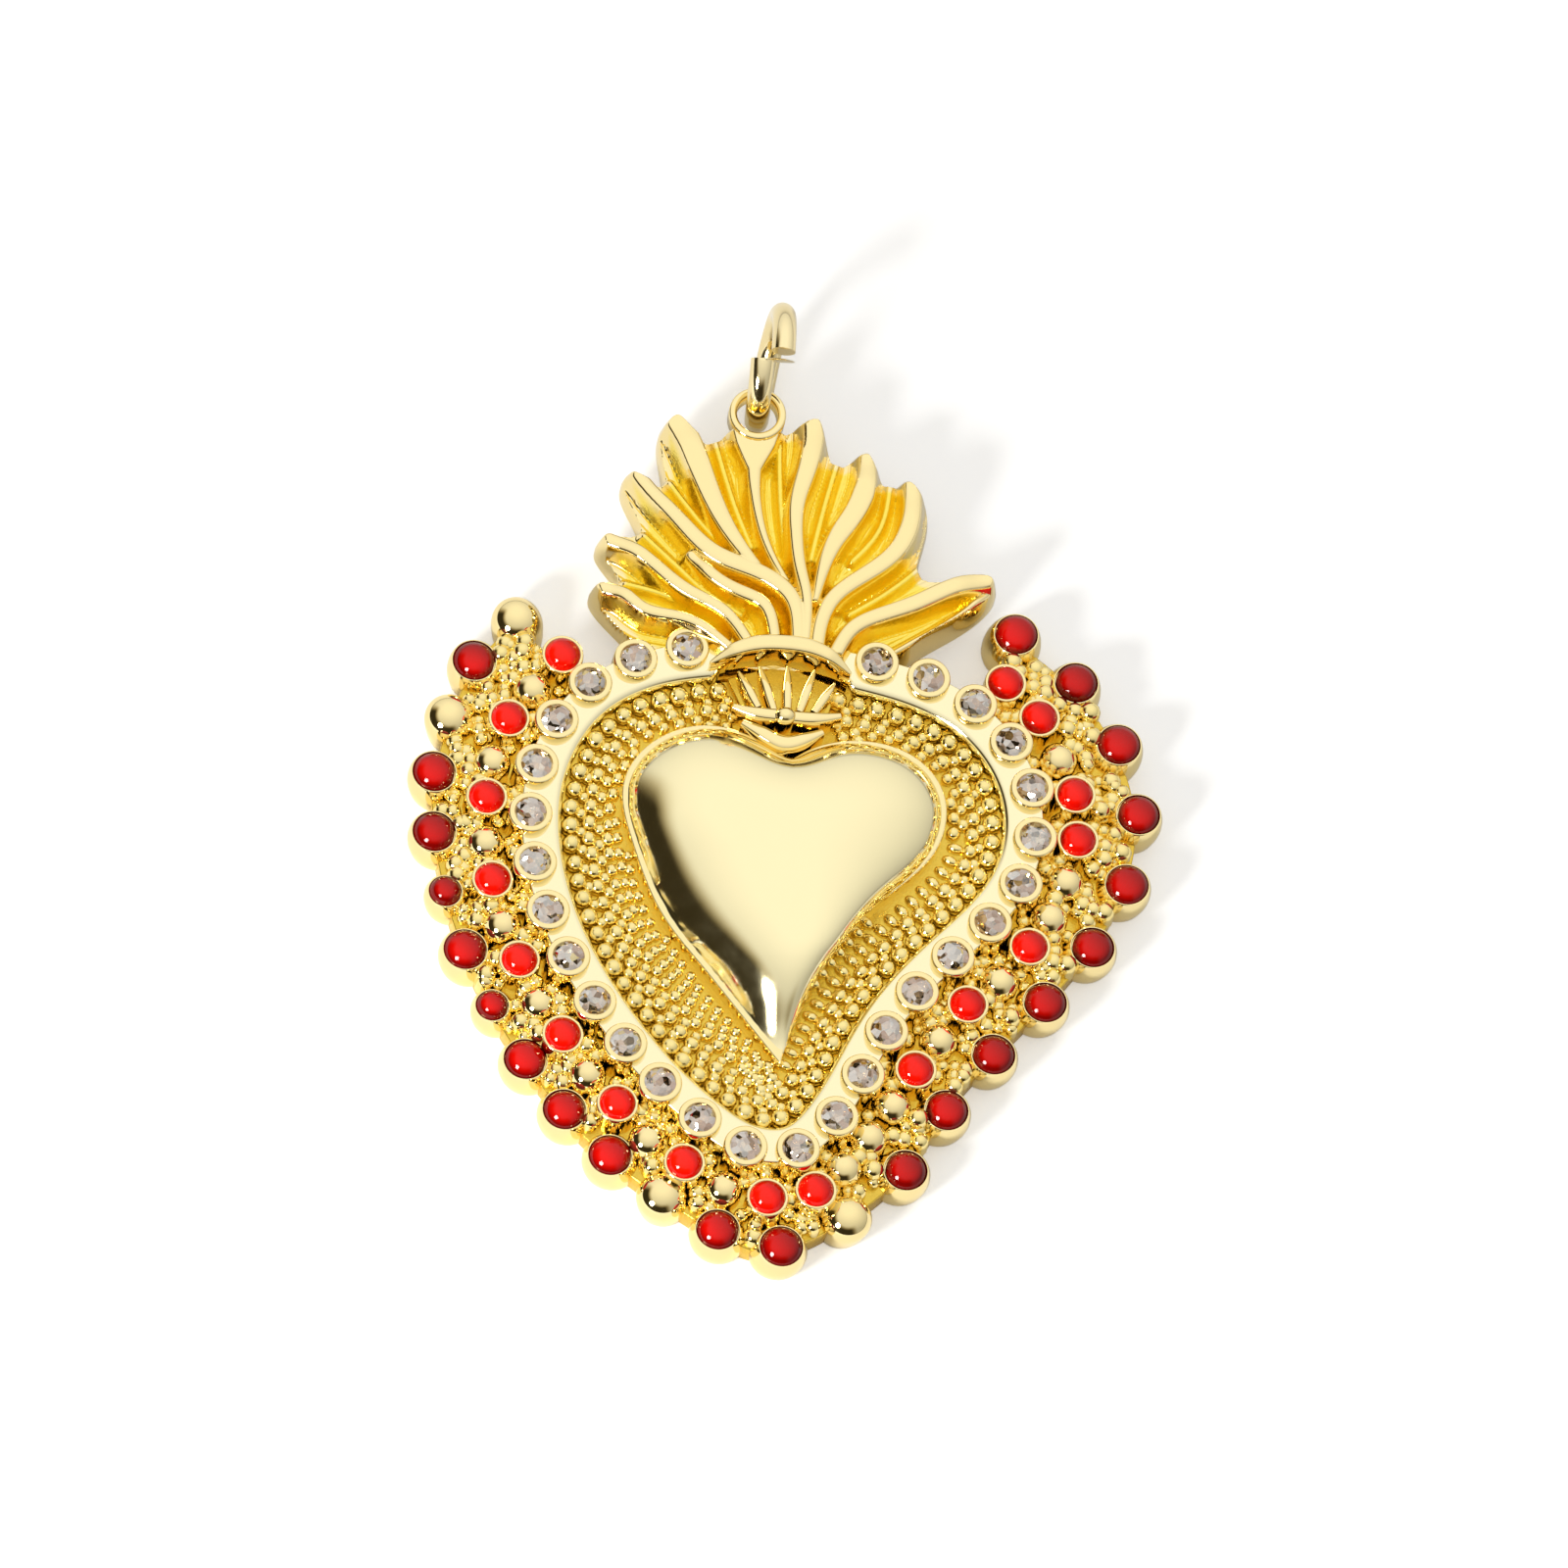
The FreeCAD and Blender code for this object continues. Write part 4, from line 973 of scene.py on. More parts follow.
def inside(points, outline):
    """Which points lie inside a closed outline, by counting the edges that a ray crosses."""
    x, y = points[:, 0], points[:, 1]
    result = np.zeros(len(points), bool)
    for (x1, y1), (x2, y2) in zip(outline, np.roll(outline, -1, axis=0)):
        crosses = ((y1 > y) != (y2 > y)) & (x < (x2 - x1) * (y - y1) / (y2 - y1 + 1e-12) + x1)
        result ^= crosses
    return result


def closed_loop(line):
    """The same line with its first point again at its end."""
    return np.vstack([line, line[:1]])


# %% Lumps
LUMP_SPACING = 0.43
LUMP_JITTER = 0.16
LUMP_RADII = (0.24, 0.42)
LUMP_TOPS = (1.3, 2.3)
EDGE_MARGIN = 0.22
CUP_MARGIN = 0.03
SUNK_UNDER_BARREL = 0.04
BEZEL_MARGIN = 0.04
BORDER_MARGIN = 0.05
chance = np.random.default_rng(11)
walls = [(p, INNER_CUP_WALL + CUP_MARGIN) for p in inner_drop_places]
walls += [(p, INNER_BALL_RADIUS) for p, _ in inner_balls]
walls += [(p, OUTER_BALL_RADIUS - CUP_MARGIN) for p, _ in outer_balls]
walls += [(p, CUP_BELLIES[k] - SUNK_UNDER_BARREL) for p, k in zip(outer_drop_places, outer_letters)]
walls += [(p, BEZEL_OUTSIDE + BEZEL_MARGIN) for p in stone_places]
low_corner, high_corner = back_outline.min(axis=0), back_outline.max(axis=0)
grid = np.stack(np.meshgrid(np.arange(low_corner[0], high_corner[0], LUMP_SPACING),
                            np.arange(low_corner[1], high_corner[1], LUMP_SPACING)), axis=-1).reshape(-1, 2)
grid += chance.uniform(-LUMP_JITTER, LUMP_JITTER, grid.shape)
grid = grid[inside(grid, back_outline) & ~inside(grid, stone_line + stone_out * (BORDER_OUT + BORDER_MARGIN))]
free = np.min([np.linalg.norm(grid - np.array(place)[:2], axis=1) - radius
               for place, radius in walls], axis=0)
edge, _ = nearest(grid, closed_loop(back_outline))
grid = grid[(free > 0.0) & (edge > EDGE_MARGIN)]
lump_places = []
for x, y in grid:
    radius = chance.uniform(*LUMP_RADII)
    top = PLATE_THICKNESS + radius * chance.uniform(*LUMP_TOPS)
    lump_places.append(Matrix.Translation((x, y, top - radius)) @ Matrix.Scale(radius, 4))
post = domed("lump", radius=1.0, rise=1.0, level=0.0, foot=-1.6, segments=12, rings=8)
finish_piece(copies(post, lump_places), "lumps_between_cups", bead_gold, smooth_angle=80.0)
print("lumps:", len(lump_places))

# %% [markdown]
# ## Puffed heart
# The heart is raised like a pillow: its wall is steep at the edge and its top nearly flat.
# Scaling the outline inwards would leave a crease at the notch, so the height is taken from
# a soap film under even pressure, whose surface is smooth everywhere, raised to a power
# that makes the shoulder rounder. Towards the tip the carver left the ridge near the right
# edge, with one long slope down to the left, so the points there are moved and lifted.

# %% Heart outline and soap film
HEART_LEFT = [(-0.05, 4.2), (-1.35, 5.05), (-3.2, 5.5), (-5.3, 4.6), (-6.3, 2.8), (-5.95, 0.6),
              (-4.9, -2.2), (-3.4, -4.3), (-2.1, -6.0), (-0.4, -8.24)]
HEART_RIGHT = [(-0.05, 4.2), (1.0, 4.85), (2.7, 5.15), (4.6, 4.6), (5.75, 3.0), (5.5, 0.95),
               (4.4, -0.45), (2.8, -1.9), (1.5, -3.3), (0.6, -4.9), (0.0, -6.6), (-0.4, -8.24)]
DOME_CENTRE = np.array((-0.25, 0.9))
FLANGE_TOP = 2.15
DOME_TOP = 4.1
DOME_SHARE = 0.965
FILM_STEP = 0.08
heart = np.vstack([smooth(HEART_LEFT, 100), smooth(HEART_RIGHT, 100)[-2:0:-1]])


def soap_film(outline, step):
    """Height of a film under even pressure over an outline, on a square grid of cells."""
    low_corner = outline.min(axis=0) - 2 * step
    high_corner = outline.max(axis=0) + 2 * step
    xs = np.arange(low_corner[0], high_corner[0], step)
    ys = np.arange(low_corner[1], high_corner[1], step)
    cells = np.stack(np.meshgrid(xs, ys, indexing="ij"), axis=-1)
    mask = inside(cells.reshape(-1, 2), outline).reshape(cells.shape[:2])

    def pull(film):
        """How the film's own tension pulls each cell back towards its four neighbours."""
        total = 4 * film
        total[1:] -= film[:-1]
        total[:-1] -= film[1:]
        total[:, 1:] -= film[:, :-1]
        total[:, :-1] -= film[:, 1:]
        return total * mask

    film = np.zeros(mask.shape)
    rest = mask.astype(float)
    way = rest.copy()
    power = (rest ** 2).sum()
    for _ in range(900):
        pulled = pull(way)
        share = power / (way * pulled).sum()
        film += share * way
        rest -= share * pulled
        new_power = (rest ** 2).sum()
        if new_power < 1e-12:
            break
        way = rest + way * (new_power / power)
        power = new_power
    return xs, ys, film / film.max()


def sample(xs, ys, field, points):
    """Value of a gridded field at points, between its cells."""
    u = np.clip((points[:, 0] - xs[0]) / (xs[1] - xs[0]), 0, len(xs) - 1.001)
    v = np.clip((points[:, 1] - ys[0]) / (ys[1] - ys[0]), 0, len(ys) - 1.001)
    i, j = u.astype(int), v.astype(int)
    a, b = u - i, v - j
    return ((1 - a) * (1 - b) * field[i, j] + a * (1 - b) * field[i + 1, j]
            + (1 - a) * b * field[i, j + 1] + a * b * field[i + 1, j + 1])


foot = DOME_CENTRE + (heart - DOME_CENTRE) * DOME_SHARE
xs, ys, film = soap_film(foot, FILM_STEP)
print("soap film on", film.shape, "cells")

# %% Dome from rings of the outline
FULLNESS = 0.42
FOOT_EASE = 0.06
DOME_FOOT = FLANGE_TOP - 0.05
DOME_RINGS = 34
RING_SHARES = 1 - (1 - np.cos(np.linspace(0, math.pi / 2, DOME_RINGS))) * 0.995
RIDGE_SHIFT = np.array((1.8, -1.2))
RIDGE_REACH = (-1.5, 3.5)
TIP_LIFT = 0.8
TIP_REACH = (0.0, 7.0)


def ramp(value, start, end):
    """Smooth step from 0 at start to 1 at end."""
    share = np.clip((value - start) / (end - start), 0, 1)
    return share * share * (3 - 2 * share)


dome_points = []
for share in RING_SHARES:
    ring = DOME_CENTRE + (foot - DOME_CENTRE) * share
    pillow = np.clip(sample(xs, ys, film, ring), 0, 1) if share < 1 else np.zeros(len(foot))
    lift = (pillow + FOOT_EASE) ** FULLNESS - FOOT_EASE ** FULLNESS
    height = lift / ((1 + FOOT_EASE) ** FULLNESS - FOOT_EASE ** FULLNESS)
    height *= 1 + TIP_LIFT * ramp(-ring[:, 1], *TIP_REACH)
    ring = ring + RIDGE_SHIFT * (np.sqrt(pillow) * ramp(-ring[:, 1], *RIDGE_REACH))[:, None]
    dome_points += [(x, y, DOME_FOOT + (DOME_TOP - DOME_FOOT) * h) for (x, y), h in zip(ring, height)]
count = len(foot)
dome_faces = ring_faces(DOME_RINGS, count)
dome_faces.append([(DOME_RINGS - 1) * count + n for n in range(count)])
dome_faces.append(list(range(count))[::-1])
dome = point_outwards(new_mesh("dome", dome_points, dome_faces))
finish_piece(dome, "puffed_heart", heart_gold, smooth_angle=80.0)

# %% Flange round the dome
FLANGE_FOOT = 0.7
FLANGE_BEVEL = 0.08
flange = plate("flange", heart, FLANGE_FOOT, FLANGE_TOP, FLANGE_BEVEL)
finish_piece(flange, "heart_flange", polished_gold)

# %% [markdown]
# ## Granulation
# Between the border and the heart the channel is filled with rows of beads: a large row by
# the border, small beads between, a middle row, and smaller rows as far as the heart lets
# them. On the lower right short ribs that point at the heart take their place. One bead is
# a sphere with few faces, copied along lines at a steady distance inside the border.

# %% Beads and ribs of the channel
# Each row gives its distance from the border, radius, pitch, shift in pitches and raise.
BEAD_ROWS = [(0.36, 0.37, 0.75, 0.0, 0.1), (0.75, 0.24, 0.75, 0.5, 0.06), (1.06, 0.32, 0.66, 0.0, 0.03),
             (1.42, 0.26, 0.66, 0.5, 0.0), (1.76, 0.28, 0.62, 0.0, 0.0), (2.1, 0.25, 0.6, 0.5, 0.0),
             (2.42, 0.22, 0.56, 0.0, 0.0), (2.72, 0.22, 0.56, 0.5, 0.0)]
RIBBED_FROM_ROW = 3
RIB_ROWS = [(1.6, 0.2, 0.56, 0.0), (2.2, 0.2, 0.54, 0.3), (2.75, 0.2, 0.52, 0.0)]
RIB_STRETCH = 1.75
RIB_RISE = 1.2
RIB_FOOT = 0.05
BEAD_SINK = 0.3
BEAD_JITTER = 0.02
BEAD_SIZES = (0.92, 1.06)
HEART_GUARD = 1.03
GRAIN_CUT = -0.6
FAN_SIDES = (-2.0, 1.6)
COLLAR_LOW = 4.3
RIBBED_FROM_X = -0.3
RIBBED_UP_TO_Y = 1.6


def grain(name, segments=10, rings=6):
    """Bead with few faces: a sphere cut flat a little under its middle."""
    bpy.ops.object.select_all(action="DESELECT")
    bpy.ops.mesh.primitive_uv_sphere_add(segments=segments, ring_count=rings, radius=1)
    piece = bpy.context.object
    piece.name = name
    bpy.ops.object.mode_set(mode="EDIT")
    bpy.ops.mesh.select_all(action="SELECT")
    bpy.ops.mesh.bisect(plane_co=(0, 0, GRAIN_CUT), plane_no=(0, 0, 1), use_fill=True, clear_inner=True)
    bpy.ops.object.mode_set(mode="OBJECT")
    return point_outwards(piece)


def clear_of_fan(place):
    """Whether a bead lies outside the fan, the cross bar and the collar."""
    return not (FAN_SIDES[0] < place[0] < FAN_SIDES[1] and place[1] > COLLAR_LOW)


def on_lower_right(place):
    """Whether a place is on the stretch where ribs stand in the channel."""
    return place[0] > RIBBED_FROM_X and place[1] < RIBBED_UP_TO_Y


def along_channel(distance, pitch, shift=0.0):
    """Places and outward directions at an even pitch along a line inside the border."""
    line = closed_loop(stone_line + stone_out * (BORDER_IN - distance))
    outs = closed_loop(stone_out)
    run = run_along(line)
    count = int(round(run[-1] / pitch))
    marks = (np.arange(count) + shift) / count * run[-1]
    return at_marks(marks, run, line), at_marks(marks, run, outs)


heart_guard = DOME_CENTRE + (heart - DOME_CENTRE) * HEART_GUARD
bead_places = []
for row, (distance, radius, pitch, shift, raise_by) in enumerate(BEAD_ROWS):
    spots, _ = along_channel(distance, pitch, shift)
    for place in spots + chance.normal(0, BEAD_JITTER, spots.shape):
        size = radius * chance.uniform(*BEAD_SIZES)
        ribbed = row >= RIBBED_FROM_ROW and on_lower_right(place)
        if clear_of_fan(place) and not ribbed and not inside(place[None], heart_guard)[0]:
            level = CHANNEL_FLOOR + size * BEAD_SINK + raise_by
            bead_places.append(Matrix.Translation((*place, level)) @ Matrix.Scale(size, 4))
for distance, radius, pitch, shift in RIB_ROWS:
    for place, way in zip(*along_channel(distance, pitch, shift)):
        if on_lower_right(place) and not inside(place[None], heart_guard)[0]:
            shape = Matrix.Diagonal((radius * RIB_STRETCH, radius, radius * RIB_RISE, 1))
            bead_places.append(standing(place, way, CHANNEL_FLOOR + RIB_FOOT) @ shape)
beads = copies(grain("bead"), bead_places)
finish_piece(beads, "channel_beads", bead_gold, smooth_angle=80.0)

# %% [markdown]
# ## Band, fan, cross bar and collar
# Over the notch of the heart the flame is tied in by a curved band. A little fan of rays
# drops from it to a cross bar with a round knob, and a collar fills the notch. They are
# bars of changing width, so one function makes a rounded bar along a line.

# %% Bars along a line
def bar(name, places, widths, bottom, tops, crown=0.35, count=24):
    """Bar along a smooth line: its width and top change along it, and its back is rounded."""
    line = smooth(places, count)
    outs = sides_of(line)
    share = np.linspace(0, 1, count)
    half = np.interp(share, np.linspace(0, 1, len(widths)), widths) / 2
    top = np.interp(share, np.linspace(0, 1, len(tops)), tops)
    section = [(-1.0, None), (-1.0, -crown), (-0.8, -crown * 0.35), (-0.45, -crown * 0.08), (0.0, 0.0),
               (0.45, -crown * 0.08), (0.8, -crown * 0.35), (1.0, -crown), (1.0, None)]
    points = []
    for n in range(count):
        for across, drop_by in section:
            x, y = line[n] + outs[n] * half[n] * across
            points.append((x, y, bottom if drop_by is None else top[n] + drop_by * half[n]))
    size = len(section)
    faces = ring_faces(count, size)
    faces.append(list(range(size)))
    faces.append([(count - 1) * size + k for k in range(size)])
    return point_outwards(new_mesh(name, points, faces))


# %% Band and fan
BAND_PLACES = [(-3.1, 7.7), (-2.3, 8.1), (-1.4, 8.36), (-0.45, 8.42), (0.5, 8.33), (1.4, 8.02), (2.15, 7.5)]
BAND_WIDTHS = [0.1, 0.5, 0.62, 0.62, 0.62, 0.5, 0.1]
BAND_TOPS = [2.9, 3.35, 3.5, 3.5, 3.5, 3.35, 2.9]
BAND_FOOT = 1.2
band = bar("band", BAND_PLACES, BAND_WIDTHS, BAND_FOOT, BAND_TOPS, crown=0.3, count=40)
finish_piece(band, "curved_band", polished_gold, smooth_angle=60.0)

FAN_RAYS = [((-2.0, 7.6), (-1.28, 6.1)), ((-1.22, 7.85), (-0.7, 6.0)), ((-0.17, 7.9), (-0.2, 6.0)),
            ((0.85, 7.8), (0.25, 6.0)), ((1.6, 7.3), (0.8, 6.0))]
RAY_WIDTHS = [0.08, 0.3, 0.38, 0.36, 0.3]
RAY_TOPS = [2.45, 2.65, 2.65]
RAY_FOOT = 1.0
FAN_BED = [(-2.35, 7.6), (-0.3, 8.3), (1.8, 7.4), (1.2, 5.7), (-1.5, 5.7)]
FAN_BED_FOOT = 0.7
FAN_BED_TOP = 1.75
rays = [bar("ray", ray, RAY_WIDTHS, RAY_FOOT, RAY_TOPS, crown=0.7, count=10) for ray in FAN_RAYS]
finish_piece(joined(rays), "fan_rays", polished_gold, smooth_angle=60.0)
bed = plate("fan_bed", FAN_BED, FAN_BED_FOOT, FAN_BED_TOP, bevel=0.05)
# The bed under the rays gets the darker gold of painted shade.
finish_piece(bed, "fan_bed", painted_shade_recess_gold)

# %% Cross bar, collar and knob
ARM_FOOT = 0.7
ARM_CROWN = 0.6
left_arm = bar("arm", [(-2.2, 6.1), (-1.4, 5.83), (-0.3, 5.72)], [0.24, 0.5, 0.5], ARM_FOOT,
               [2.65, 2.85, 2.9], ARM_CROWN)
right_arm = bar("arm", [(-0.3, 5.72), (0.8, 5.7), (1.8, 5.9)], [0.5, 0.5, 0.24], ARM_FOOT,
                [2.9, 2.85, 2.65], ARM_CROWN)
collar = bar("collar", [(-1.85, 5.55), (-1.0, 5.05), (-0.35, 4.75), (0.25, 4.85), (1.15, 5.3)],
             [0.25, 0.55, 0.7, 0.55, 0.25], ARM_FOOT, [2.45, 2.6, 2.62, 2.6, 2.45], ARM_CROWN)
KNOB_PLACE = (-0.3, 5.7)
KNOB_RADIUS = 0.38
KNOB_STRETCH = (1.1, 0.95, 1.0, 1.0)
knob_profile = [(0.0, ARM_FOOT), (KNOB_RADIUS - 0.01, ARM_FOOT), (KNOB_RADIUS, 2.75)]
knob_profile += arc((0, 2.72), KNOB_RADIUS, 8, 90, 8)[:-1] + [(0.0, 3.05)]
knob = lathe("knob", knob_profile, 24)
knob.data.transform(standing(KNOB_PLACE) @ Matrix.Diagonal(KNOB_STRETCH))
finish_piece(joined([left_arm, right_arm, collar, knob]), "cross_bar_and_collar", polished_gold,
             smooth_angle=60.0)

# %% [markdown]
# ## Flame
# The flame is carved in wax before it is cast: broad polished ribs with hollow grooves
# between them, fine ribs in the grooves, and rounded tongues at the edge. Carving means
# that each spot has one height, so the outline is filled with a fine net of triangles and
# each point is lifted to the height that the nearest ribs give it.

# %% Outline and ribs of the flame
EYELET = (-1.34, 18.06)
HOLE = 0.775
EYELET_WALL = 0.3
FLAME_EDGE = [(-4.9, 8.3), (-6.4, 9.3), (-7.45, 10.6), (-7.35, 11.1), (-6.5, 11.3), (-7.25, 12.6),
              (-6.9, 13.2), (-5.7, 13.4), (-6.3, 15.1), (-6.0, 15.8), (-4.85, 15.4), (-4.95, 17.4),
              (-4.4, 18.2), (-3.9, 18.0), (-3.0, 17.2), (-2.3, 17.7), (-0.4, 17.7), (0.5, 18.2),
              (1.1, 18.25), (1.4, 17.5), (1.75, 16.5), (2.5, 16.9), (3.1, 16.8), (3.65, 15.75),
              (4.3, 15.9), (4.9, 15.5), (5.15, 14.0), (4.95, 12.1), (7.2, 12.2), (7.75, 11.7),
              (6.6, 10.3), (5.0, 9.2), (3.4, 8.3)]
# Each main rib gives its line from the tip down, its half widths along it and how low it lies.
MAIN_RIBS = [
    ([(-4.3, 17.8), (-3.8, 16.6), (-3.25, 15.1), (-2.6, 13.6), (-1.7, 12.2), (-0.8, 11.2)],
     (0.46, 0.44, 0.36, 0.26, 0.17), 0.0),
    ([(-5.75, 15.4), (-5.1, 14.5), (-4.3, 13.6), (-3.0, 12.3), (-1.5, 11.65), (-0.4, 11.0),
      (0.1, 10.2), (0.2, 8.6)], (0.25, 0.33, 0.25), 0.0),
    ([(-3.75, 12.2), (-2.95, 11.3), (-1.9, 10.7), (-1.05, 10.2), (-0.65, 8.6)], (0.22, 0.25, 0.2), 0.0),
    ([(-6.85, 12.7), (-6.0, 12.3), (-5.1, 11.6), (-4.0, 10.7), (-2.6, 9.9), (-1.6, 8.6)],
     (0.25, 0.25, 0.2), 0.0),
    ([(-7.05, 10.7), (-6.3, 10.4), (-5.5, 9.8), (-4.0, 9.5), (-2.4, 8.5)], (0.25, 0.22, 0.17), 0.0),
    ([(-1.36, 18.9), (-1.4, 17.1), (-1.45, 15.4), (-1.25, 13.7), (-0.8, 12.3), (0.0, 10.9)],
     (1.0, 1.0, 0.72, 0.26, 0.2, 0.17, 0.15, 0.13, 0.12), 0.08),
    ([(0.8, 18.0), (0.74, 17.0), (0.5, 15.8), (0.16, 14.5), (0.12, 13.2), (0.25, 11.9),
      (0.5, 10.6), (0.45, 8.6)], (0.42, 0.34, 0.25, 0.21, 0.17), 0.0),
    ([(2.8, 16.55), (2.75, 15.5), (2.35, 14.3), (1.75, 13.3), (1.25, 12.2), (0.85, 10.6)],
     (0.28, 0.41, 0.38, 0.26, 0.14), 0.0),
    ([(4.5, 15.5), (4.48, 14.5), (4.2, 13.3), (3.5, 12.3), (2.35, 11.4), (1.5, 10.6), (1.05, 9.6),
      (0.9, 8.6)], (0.3, 0.34, 0.31, 0.28, 0.25), 0.0),
    ([(7.3, 11.8), (5.9, 11.3), (4.6, 10.6), (3.2, 10.0), (2.2, 9.4), (1.6, 8.4)], (0.32, 0.3, 0.25), 0.0),
    ([(7.4, 11.5), (6.4, 10.45), (5.0, 9.45), (3.7, 8.65)], (0.14, 0.13, 0.1), 0.45),
]
FINE_RIBS = [
    [(-4.55, 15.3), (-3.45, 13.8), (-2.4, 12.75)],
    [(-2.85, 17.1), (-2.2, 14.7), (-1.5, 12.9)],
    [(-0.45, 17.4), (-0.4, 14.7), (-0.2, 12.8)],
    [(1.7, 16.4), (1.2, 14.5), (0.75, 12.5)],
    [(3.7, 15.6), (3.3, 13.8), (2.3, 12.5)],
    [(4.9, 12.4), (3.7, 11.3), (2.2, 10.3)],
    [(-5.5, 13.1), (-4.4, 12.0), (-3.3, 11.0), (-1.9, 10.1)],
    [(-6.2, 11.1), (-4.5, 10.6), (-2.9, 9.7)],
]
UNDERSIDE = 0.9
VALLEY = 1.85
CREST = 2.95
TIP_FALL = 0.25
TIP_END = 0.2
CREST_EDGE = 0.04
RIB_WALL = 0.3
ROOT_FALL = 0.1
ROOT_START = 0.75
CROWN_FALL = 0.07
GRAVER_PITCH = 0.3
GRAVER_DEPTH = 0.035
GRAVER_START = (0.25, 0.4)
FINE_CREST = 2.3
FINE_FALL = 0.2
FINE_HIGHEST = 0.4
FINE_WALL = (0.04, 0.34)
EDGE_LEVEL = 1.4
EDGE_TOP = CREST + 0.05
EDGE_REACH = 0.5
EDGE_ROUND = 2.2
POLISHED_BESIDE_CREST = (0.02, 0.14)
POLISHED_RIM = (0.28, 0.45)
FAR_FROM_RIBS = 9.0
NET = 0.047
NET_ROW = NET * 0.866
NET_MARGIN = NET * 0.7

# %% Height of the carving
flame_outline = smooth(FLAME_EDGE, 560, closed=True)
reach = HOLE ** 2 - (flame_outline[:, 0] - EYELET[0]) ** 2
hole_edge = EYELET[1] - np.sqrt(np.clip(reach, 0, None))
in_hole = (reach > 0) & (flame_outline[:, 1] > hole_edge)
flame_outline[in_hole, 1] = hole_edge[in_hole]


def flame_height(points):
    """Height of the carved flame at points, and how much the mop has polished each one."""
    rim, _ = nearest(points, closed_loop(flame_outline))
    height = np.full(len(points), VALLEY)
    polish = np.zeros(len(points))
    gap = np.full(len(points), FAR_FROM_RIBS)
    for places, widths, fall in MAIN_RIBS:
        distance, share = nearest(points, smooth(places, 60))
        half = np.interp(share, np.linspace(0, 1, len(widths)), widths)
        ends = TIP_FALL * (1 - ramp(share, 0.0, TIP_END)) + ROOT_FALL * ramp(share, ROOT_START, 1.0)
        crest = CREST - fall - ends
        crown = crest - CROWN_FALL * np.clip(distance / half, 0, 1) ** 2
        lifted = crown - (crown - VALLEY) * ramp(distance, half - CREST_EDGE, half + RIB_WALL)
        height = np.maximum(height, lifted)
        polish = np.maximum(polish, 1 - ramp(distance - half, *POLISHED_BESIDE_CREST))
        gap = np.minimum(gap, distance - half)
    height += GRAVER_DEPTH * np.sin(gap * 2 * math.pi / GRAVER_PITCH) * ramp(gap, *GRAVER_START)
    for places in FINE_RIBS:
        distance, share = nearest(points, smooth(places, 40))
        crest = FINE_CREST - FINE_FALL * np.abs(share - FINE_HIGHEST)
        height = np.maximum(height, crest - (crest - VALLEY) * ramp(distance, *FINE_WALL))
    rise = EDGE_TOP - EDGE_LEVEL
    shoulder = EDGE_LEVEL + rise * (1 - (1 - np.clip(rim / EDGE_REACH, 0, 1)) ** EDGE_ROUND)
    polish = np.maximum(polish, 1 - ramp(rim, *POLISHED_RIM))
    return np.minimum(height, shoulder), polish


# %% Net over the outline
rows = []
for number, y in enumerate(np.arange(flame_outline[:, 1].min(), flame_outline[:, 1].max(), NET_ROW)):
    row_x = np.arange(flame_outline[:, 0].min(), flame_outline[:, 0].max(), NET) + (number % 2) * NET / 2
    rows.append(np.column_stack([row_x, np.full(len(row_x), y)]))
net = np.vstack(rows)
net = net[inside(net, flame_outline)]
rim_distance, _ = nearest(net, closed_loop(flame_outline))
net = net[rim_distance > NET_MARGIN]
flat = np.vstack([flame_outline, net])
ring_edges = [(n, (n + 1) % len(flame_outline)) for n in range(len(flame_outline))]
flat_points, _, flat_faces, _, _, _ = delaunay_2d_cdt([Vector(p) for p in flat], ring_edges, [], 1, 1e-5)
flat_points = np.array([tuple(p) for p in flat_points])
heights, _ = flame_height(flat_points)
top_points = [(x, y, z) for (x, y), z in zip(flat_points, heights)]
flame = new_mesh("flame", top_points, [list(face) for face in flat_faces])
print("net", len(flat_points), "points")

# %% Walls, underside and polish of the flame
bpy.ops.object.mode_set(mode="EDIT")
bpy.ops.mesh.select_mode(type="VERT")
bpy.ops.mesh.select_all(action="SELECT")
bpy.ops.mesh.normals_make_consistent(inside=False)
bpy.ops.mesh.region_to_loop()
bpy.ops.mesh.extrude_edges_move()
bpy.ops.transform.resize(value=(1, 1, 0), center_override=(0, 0, UNDERSIDE))
bpy.ops.mesh.edge_face_add()
bpy.ops.object.mode_set(mode="OBJECT")
point_outwards(flame)
flame_plan = np.array([vertex.co[:2] for vertex in flame.data.vertices])
_, polish = flame_height(flame_plan)
flame.data.attributes.new("polish", "FLOAT", "POINT")
flame.data.attributes["polish"].data.foreach_set("value", polish.astype(np.float32))
finish_piece(flame, "flame", flame_gold, smooth_angle=50.0)

# %% [markdown]
# ## Eyelet and jump ring
# The eyelet is a turned loop at the top of the flame. The jump ring is a length of wire
# bent through almost one turn, so the round section of the wire is spun about the middle
# of the ring, and each part is then moved sideways by how far along the wire it is.

# %% Eyelet
EYELET_LOW = 2.1
EYELET_HIGH = 2.9
EYELET_OUTSIDE = HOLE + EYELET_WALL
eyelet_profile = [(HOLE, EYELET_LOW + 0.06), (HOLE, EYELET_HIGH - 0.08),
                  (HOLE + 0.03, EYELET_HIGH - 0.02), (HOLE + 0.09, EYELET_HIGH),
                  (EYELET_OUTSIDE - 0.09, EYELET_HIGH), (EYELET_OUTSIDE - 0.03, EYELET_HIGH - 0.02),
                  (EYELET_OUTSIDE, EYELET_HIGH - 0.08), (EYELET_OUTSIDE, EYELET_LOW + 0.06),
                  (EYELET_OUTSIDE - 0.06, EYELET_LOW), (HOLE + 0.06, EYELET_LOW),
                  (HOLE, EYELET_LOW + 0.06)]
